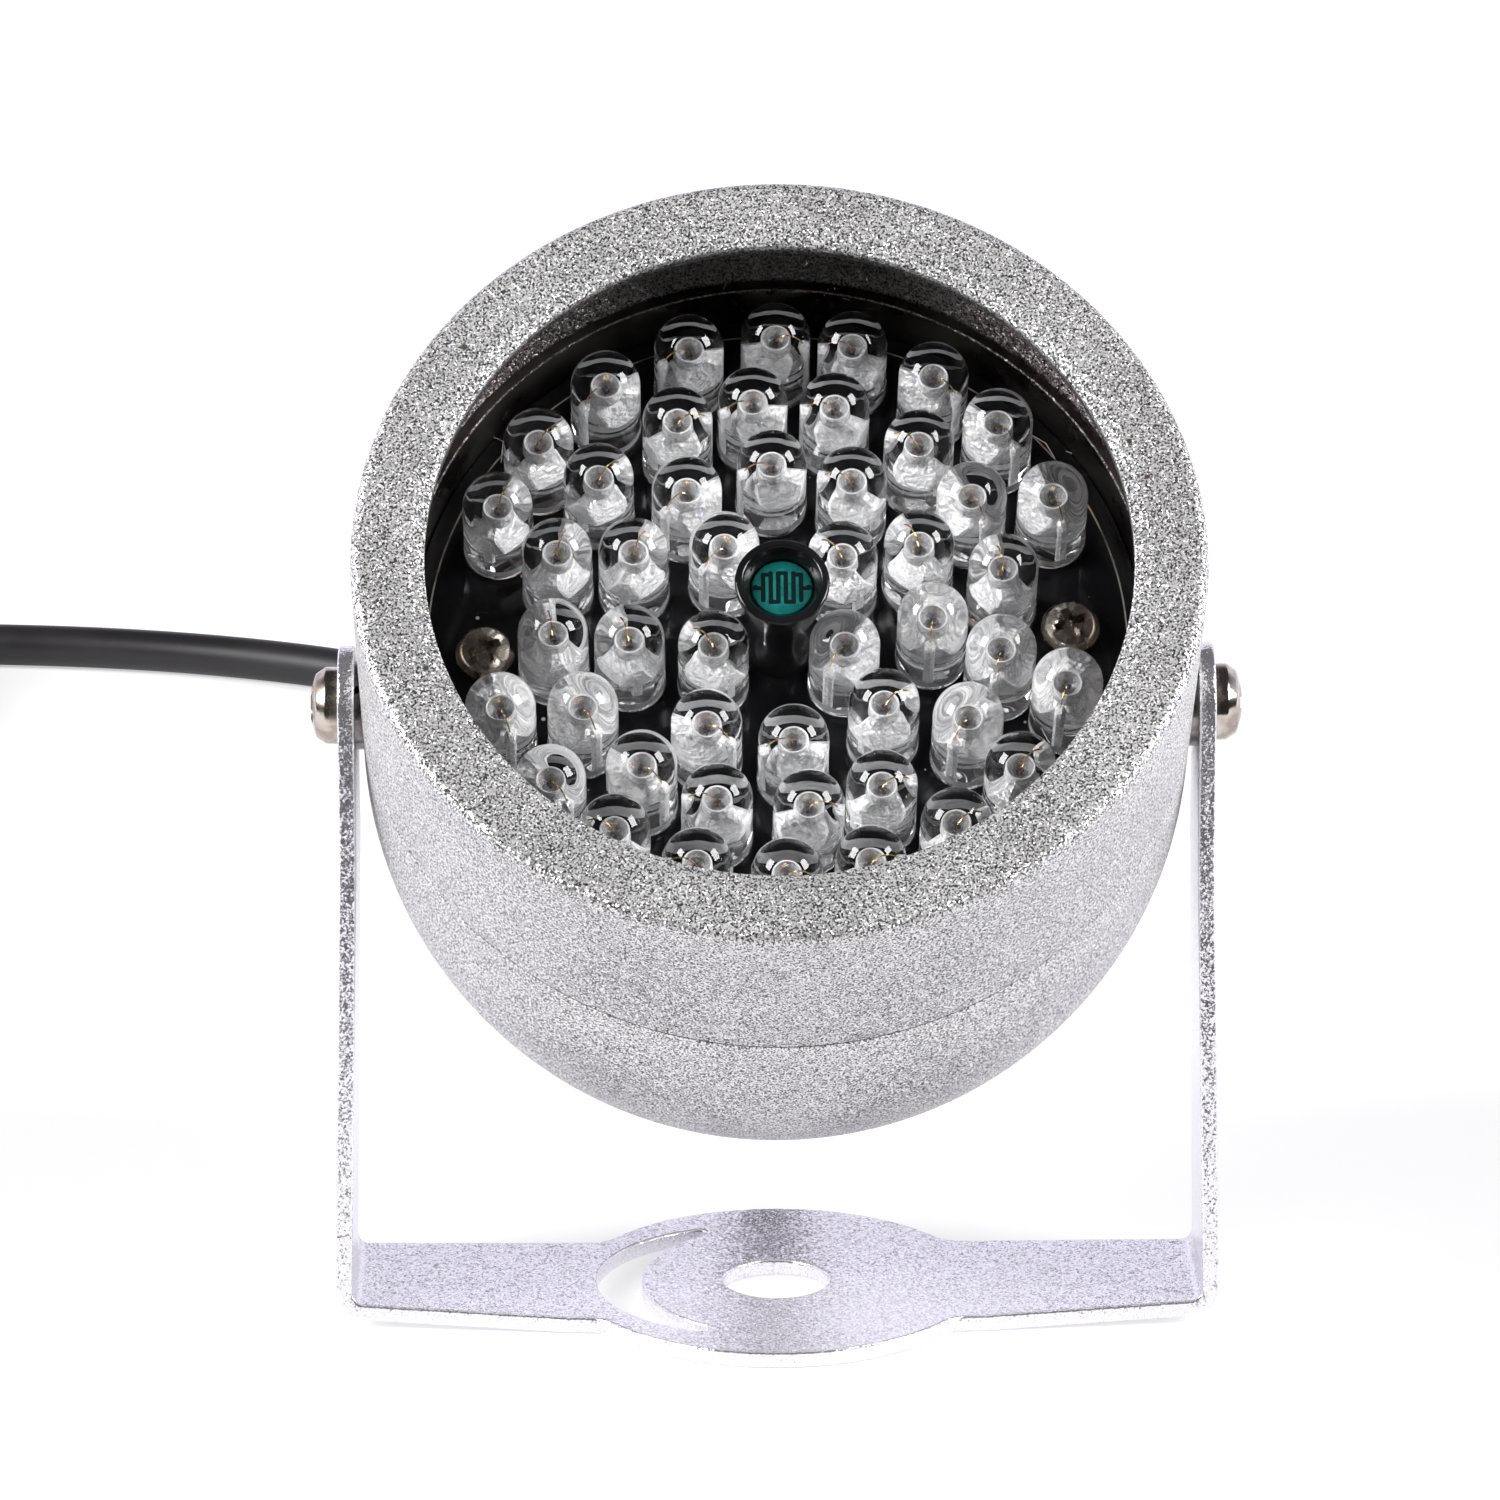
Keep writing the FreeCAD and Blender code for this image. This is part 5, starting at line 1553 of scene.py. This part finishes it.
@dataclass
class Bracket:
    """The bracket bent from one sheet, with its edges rolled over by the punch and the paint."""

    sheet: float = 1.2
    arm_x: float = 30.0
    foot_spread: float = 0.75
    kink_z: float = 34.0
    end_r: float = 4.2
    bend_r: float = 1.5
    kink_r: float = 30.0
    lift: float = 0.6
    disc_r: float = 14.5
    half_at_disc: float = 7.6
    half_at_bend: float = 6.2
    fillet: float = 2.5
    hole_r: float = 3.75
    pivot_hole_r: float = 1.7
    edge: float = 0.2
    slot_outer: Flat = (10.6, -2.25)
    slot_inner: Flat = (11.5, 1.85)
    slot_tip_x: float = -5.5
    slot_bulge: float = 0.6

    def spine(self) -> list[Flat]:
        """Points of the right half of the sheet's middle line, x and z, arcs finely divided."""
        half = self.sheet / 2
        foot = self.arm_x + self.foot_spread
        top = POSE.pivot_z + self.end_r
        corners = [Vector((0.0, half)), Vector((self.disc_r, half)), Vector((foot, half + self.lift)),
                   Vector((self.arm_x, self.kink_z)), Vector((self.arm_x, top))]
        radii = (self.kink_r, self.bend_r, self.kink_r)
        line = [corners[0]]
        for k, r in enumerate(radii, 1):
            before = (corners[k - 1] - corners[k]).normalized()
            after = (corners[k + 1] - corners[k]).normalized()
            turn = math.pi - before.angle(after)
            trim = r * math.tan(turn / 2)
            a = corners[k] + before * trim
            b = corners[k] + after * trim
            centre = corners[k] + (before + after).normalized() * (r / math.cos(turn / 2))
            steps = 10 if r < 10 else 3
            sweep = (a - centre).angle_signed(b - centre)
            for s in range(steps + 1):
                line.append(centre + Matrix.Rotation(-sweep * s / steps, 2) @ (a - centre))
        line.append(corners[-1])
        return [tuple(p) for p in line]

    def __post_init__(self) -> None:
        """Works out the middle line and the distance along it to each of its points."""
        self.line = self.spine()
        self.knots = [0.0]
        for a, b in zip(self.line, self.line[1:]):
            self.knots.append(self.knots[-1] + math.dist(a, b))

    def at(self, u: float) -> tuple[Vector, Vector]:
        """The middle line's point and its normal at a distance from the middle, left side mirrored."""
        side = -1.0 if u < 0 else 1.0
        d = min(abs(u), self.knots[-1])
        k = max(i for i in range(len(self.knots) - 1) if self.knots[i] <= d + 1e-9)
        a, b = Vector(self.line[k]), Vector(self.line[k + 1])
        along = (b - a).normalized()
        point = a + along * (d - self.knots[k])
        return Vector((side * point.x, point.y)), Vector((-side * along.y, along.x))

    def joint_normal(self, u: float) -> tuple[Vector, Vector]:
        """As at, with the normal averaged where two pieces of the middle line meet."""
        point, _ = self.at(u)
        _, before = self.at(math.copysign(max(abs(u) - 1e-4, 0.0), u))
        _, after = self.at(math.copysign(abs(u) + 1e-4, u))
        return point, (before + after).normalized()

    def distance_at(self, z: float) -> float:
        """The distance along the middle line at which the arm reaches a height."""
        for (_, low), (_, high), start, end in zip(self.line, self.line[1:], self.knots, self.knots[1:]):
            if high >= self.sheet * 2.5 and low <= z <= high + 1e-9 and high > low:
                return start + (z - low) / (high - low) * (end - start)
        return self.knots[-1]

    def half_width(self, u: float) -> float:
        """Half the strip's width at a distance along it, past the disc."""
        point, _ = self.at(u)
        split = self.lift + self.sheet + self.bend_r
        outer = self.arm_x + self.sheet / 2 + self.foot_spread
        if point.y > split:
            share = (point.y - split) / (POSE.pivot_z - split)
            return self.half_at_bend + (self.end_r - self.half_at_bend) * min(share, 1.0)
        share = (outer - point.x) / (outer - self.disc_r)
        return self.half_at_bend + (self.half_at_disc - self.half_at_bend) * min(max(share, 0.0), 1.0)

    def quarter(self) -> list[Flat]:
        """The outline's quarter from the arm's tip to the middle of the disc, along and across."""
        tip = self.distance_at(POSE.pivot_z)
        line = [(tip + self.end_r * math.cos(a), self.end_r * math.sin(a))
                for a in (math.radians(90 * k / 14) for k in range(15))]
        stops = [knot for knot in self.knots if self.disc_r + 0.2 < knot < tip - 0.2]
        stops += [self.distance_at(z) for z in (8, 14, 20, 26, 38)]
        stops += [18.0, 22.0, 26.0]
        line += [(u, self.half_width(u)) for u in sorted(set(stops), reverse=True)]
        line.append((self.disc_r, self.half_at_disc))
        reach = self.disc_r + self.fillet
        cy = self.half_at_disc + self.fillet
        cx = math.sqrt(reach ** 2 - cy ** 2)
        meet = math.degrees(math.atan2(cy, cx))
        line += arc(cx, cy, self.fillet, 270, 180 + meet, 7)
        line += arc(0, 0, self.disc_r, meet, 90, 22)[1:]
        return line

    def loops(self) -> list[list[Flat]]:
        """The outline and the holes, along and across the flat sheet; the outline comes first."""
        quarter = self.quarter()
        upper = quarter + [(-u, y) for u, y in reversed(quarter[:-1])]
        outline = upper + [(u, -y) for u, y in reversed(upper[1:-1])]
        hole = arc(0, 0, self.hole_r, 0, 360, 56)[:-1]
        (ro, xo), (ri, xi) = self.slot_outer, self.slot_inner
        yo = math.sqrt(ro ** 2 - (self.slot_tip_x - xo) ** 2)
        yi = math.sqrt(ri ** 2 - (self.slot_tip_x - xi) ** 2)
        ao = math.degrees(math.atan2(yo, self.slot_tip_x - xo))
        ai = math.degrees(math.atan2(yi, self.slot_tip_x - xi))
        outer = arc(xo, 0, ro, ao, 360 - ao, 36)
        inner = arc(xi, 0, ri, 360 - ai, ai, 36)
        mid = (yo + yi) / 2
        low_tip = [(self.slot_tip_x + self.slot_bulge * math.sin(t), -mid - (yo - yi) / 2 * math.cos(t))
                   for t in (math.pi * k / 6 for k in range(1, 6))]
        high_tip = [(x, -y) for x, y in reversed(low_tip)]
        slot = outer + low_tip + inner + high_tip
        pivot = self.distance_at(POSE.pivot_z)
        eyes = [arc(side * pivot, 0, self.pivot_hole_r, 0, 360, 32)[:-1] for side in (1, -1)]
        return [outline, hole, slot] + eyes

    def bent(self, u: float, y: float, t: float) -> Point:
        """Where a point of the flat sheet is after bending; t is its height above the middle line."""
        point, normal = self.joint_normal(u)
        return (point.x + normal.x * t, y, point.y + normal.y * t)

    def cells(self, loops: Sequence[Sequence[Flat]]) -> tuple[list[Flat], list[tuple[int, ...]]]:
        """Divides the flat face between its loops into triangles, with lines across at the bends."""
        points: list[Vector] = []
        edges: list[tuple[int, int]] = []
        for loop in loops:
            first = len(points)
            points += [Vector(p) for p in loop]
            edges += [(first + k, first + (k + 1) % len(loop)) for k in range(len(loop))]
        for k, (u, y) in enumerate(loops[0]):
            if abs(u) >= self.disc_r and y > 0.5:
                edges += [(k, n) for n, (v, w) in enumerate(loops[0])
                          if abs(v - u) < 1e-6 and abs(w + y) < 1e-6][:1]
        verts, _, faces, _, _, _ = delaunay_2d_cdt(points, edges, [], 0, 1e-7)
        kept = []
        for face in faces:
            cx = sum(verts[v].x for v in face) / len(face)
            cy = sum(verts[v].y for v in face) / len(face)
            inside = [holds(loop, cx, cy) for loop in loops]
            if inside[0] and not any(inside[1:]):
                kept.append(tuple(face))
        return [tuple(v) for v in verts], kept

    def build(self, finishes: Finishes) -> None:
        """Builds the bracket."""
        form = Form()
        half, e = self.sheet / 2, self.edge
        loops = self.loops()
        faces = [inset(loop, e, 1.0 if n == 0 else -1.0) for n, loop in enumerate(loops)]
        points, cells = self.cells(faces)
        for t in (half, -half):
            ids = form.add([self.bent(u, y, t) for u, y in points])
            for cell in cells:
                form.face([ids[v] for v in cell])
        for n, loop in enumerate(loops):
            into = 1.0 if n == 0 else -1.0
            rows = []
            for k in range(4):
                a = math.radians(30 * k)
                moved = inset(loop, e * (1 - math.sin(a)), into) if k < 3 else list(loop)
                rows.append([(u, y, half - e + e * math.cos(a)) for u, y in moved])
            rows += [[(u, y, -t) for u, y, t in row] for row in reversed(rows)]
            ids = [form.add([self.bent(*p) for p in row]) for row in rows]
            form.skin(ids, False)
        bracket = form.piece("bracket_sheet", Body.BRACKET, [finishes.sheet], Shading.ROUND)
        flat = bracket.modifiers.new("flat_faces", "WEIGHTED_NORMAL")
        flat.keep_sharp = True
        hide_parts("bracket")


@dataclass
class PowerSocket:
    """The inline socket on the cable's end, with its grip rings."""

    base: Point = (-118.5, 97.0, 5.25)
    radius: float = 5.25
    tail: float = 8.0
    length: float = 24.0
    bore: float = 2.9
    bore_depth: float = 10.0

    def place(self) -> Matrix:
        """Z along the socket, away from the cable."""
        toward = Vector((0.1, -8.5, 0.0)).normalized()
        turn = toward.to_track_quat("Z", "Y").to_matrix().to_4x4()
        return Matrix.Translation(self.base) @ turn

    def build(self, finishes: Finishes) -> bpy.types.Object:
        """Makes the shell; the contact and the pin inside it keep their own solids."""
        total = self.tail + self.length
        profile: list[Flat] = [(1.9, 0.0), (2.6, 0.0)]
        for k in range(4):
            z = 0.3 + k * 1.9
            r = 2.7 + 1.1 * (z + 0.9) / self.tail
            profile += [(r, z), (r, z + 1.1), (r - 0.45, z + 1.25), (r - 0.45, z + 1.75)]
        profile += rounded([(3.75, self.tail, 0.0), (self.radius, self.tail, 0.6),
                            (self.radius, self.tail + 2.0, 0.0)], 4)
        grip = self.tail + 5.0
        for k in range(6):
            z = grip + k * 1.6
            profile += [(self.radius, z), (self.radius - 0.35, z + 0.25), (self.radius - 0.35, z + 0.85),
                        (self.radius, z + 1.1)]
        profile += rounded([(self.radius, total - 4.0, 0.0), (self.radius, total, 0.6),
                            (self.bore, total, 0.3), (self.bore, total - self.bore_depth, 0.0)], 4)
        profile += [(0.0, total - self.bore_depth), (0.0, 3.0), (1.9, 3.0)]
        form = Form()
        form.lathe(profile, 64, self.place(), closed=True)
        shell = form.piece("socket_body", Body.BRACKET, [finishes.socket])
        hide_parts("socket_shell")
        return shell


@dataclass
class CoilTie:
    """The twisted tie that holds the put-away turns together.

    Args:
        angle: Where it sits on the coil, in degrees.
        coil_r: Radius of the coil at the middle of its turns.
        wide: Width of the band.
        inner: Radius of the band's inside where it turns round a cable.
        thick: Thickness of the band.
        low: Height of the lower turning point.
        high: Height of the upper turning point.
        tail: Length of the twisted ends.
        strand: Radius of one twisted strand.
    """

    angle: float = 290.0
    coil_r: float = 21.0
    wide: float = 2.4
    inner: float = 1.8
    thick: float = 0.3
    low: float = 2.2
    high: float = 5.65
    tail: float = 8.0
    strand: float = 0.32

    def build(self, cable: Cable, finishes: Finishes) -> None:
        """Builds the band round the turns and its twisted ends.

        Args:
            cable: The cable that it holds.
            finishes: The lamp's finishes.
        """
        a = math.radians(self.angle)
        out = Vector((math.cos(a), math.sin(a), 0.0))
        along = Vector((-math.sin(a), math.cos(a), 0.0))
        up = Vector((0.0, 0.0, 1.0))
        middle = Vector((cable.coil_x, cable.coil_y, 0.0)) + out * self.coil_r
        form = Form()
        rows = []
        half = self.wide / 2
        for shift, r in ((-half, 0.0), (-half, self.thick), (half, self.thick), (half, 0.0)):
            loop = (arc(0, self.low, self.inner + r, 180, 360, 10)
                    + arc(0, self.high, self.inner + r, 0, 180, 10))
            rows.append(form.add([middle + out * x + up * z + along * shift for x, z in loop]))
        form.skin(rows, True)
        for phase in (0.0, math.pi):
            line = []
            for k in range(33):
                share = k / 32
                turn = math.tau * 3 * share + phase
                centre = middle + out * (self.inner + self.tail * share) + up * (self.low + self.high) / 2
                line.append(centre + (along * math.cos(turn) + up * math.sin(turn)) * self.strand)
            form.tube(line, self.strand, 8)
        piece = form.piece("coil_tie", Body.BRACKET, [finishes.cable], Shading.ROUND)


@dataclass
class Lint:
    """The few hairs of lint that lie on the board and on the neck's edge."""

    thick: float = 0.03
    hairs: tuple[tuple[Point, ...], ...] = (
        ((-3.92, 26.35, 13.74), (-3.5, 26.3, 13.8), (-3.36, 26.0, 13.8), (-3.58, 25.5, 13.74)),
        ((4.18, 25.6, 13.74), (4.32, 25.2, 13.5), (4.81, 25.0, 13.3), (5.37, 24.9, 13.2)),
        ((3.76, 25.5, 13.74), (3.47, 25.2, 13.4)),
        ((-19.73, 16.2, 9.43), (-19.02, 15.83, 9.43), (-19.15, 14.16, 9.43)),
        ((17.87, 16.22, 9.43), (18.9, 15.5, 9.43), (19.5, 14.3, 9.43)),
        ((16.87, 18.0, 9.44), (17.37, 18.1, 9.44)),
        ((20.28, 14.86, 9.44), (20.7, 14.69, 9.44)),
    )

    def build(self, finishes: Finishes) -> None:
        """Builds every hair as one piece."""
        form = Form()
        for hair in self.hairs:
            form.tube([POSE.matrix() @ Vector(p) for p in hair], self.thick, 6)
        piece = form.piece("stray_lint", Body.HEAD, [finishes.lint], Shading.ROUND)


class Kept:
    """The solids whose shape is right already; they only get a finish."""

    def __init__(self, finishes: Finishes) -> None:
        """Pairs each solid with its finish."""
        self.pairs = {
            "diode_board": finishes.board,
            "seal_ring": finishes.rubber,
            "string_resistors": finishes.component,
            "driver_transistor": finishes.component,
            "guard_diode": finishes.component,
            "spring_washer_right": finishes.spring,
            "spring_washer_left": finishes.spring,
            "cable_stub": finishes.cable,
            "cable_tie": finishes.tie,
            "red_wire": finishes.red,
            "black_wire": finishes.black,
            "socket_contact": finishes.contact,
            "socket_pin": finishes.contact,
        }

    def dress(self) -> None:
        """Gives each solid its finish."""
        for name, finish in self.pairs.items():
            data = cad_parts[name].data
            data.materials.clear()
            data.materials.append(finish)
            log.info("%s: keeps its solid", name)


def main() -> None:
    """Builds the studio and the lamp."""
    logging.basicConfig(level=logging.INFO, format="%(name)s %(message)s")
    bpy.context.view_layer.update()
    Studio().build()
    finishes = Finishes()
    socket = PowerSocket().build(finishes)
    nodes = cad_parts
    cable = Cable()
    cable.build(finishes, [socket, nodes["socket_contact"], nodes["socket_pin"]])
    CoilTie().build(cable, finishes)
    LampHead().build(finishes)
    Diodes().build(finishes)
    Sensor().build(finishes)
    Lint().build(finishes)
    Screws().build(finishes)
    Bracket().build(finishes)
    Kept(finishes).dress()


if __name__ == "__main__":
    main()
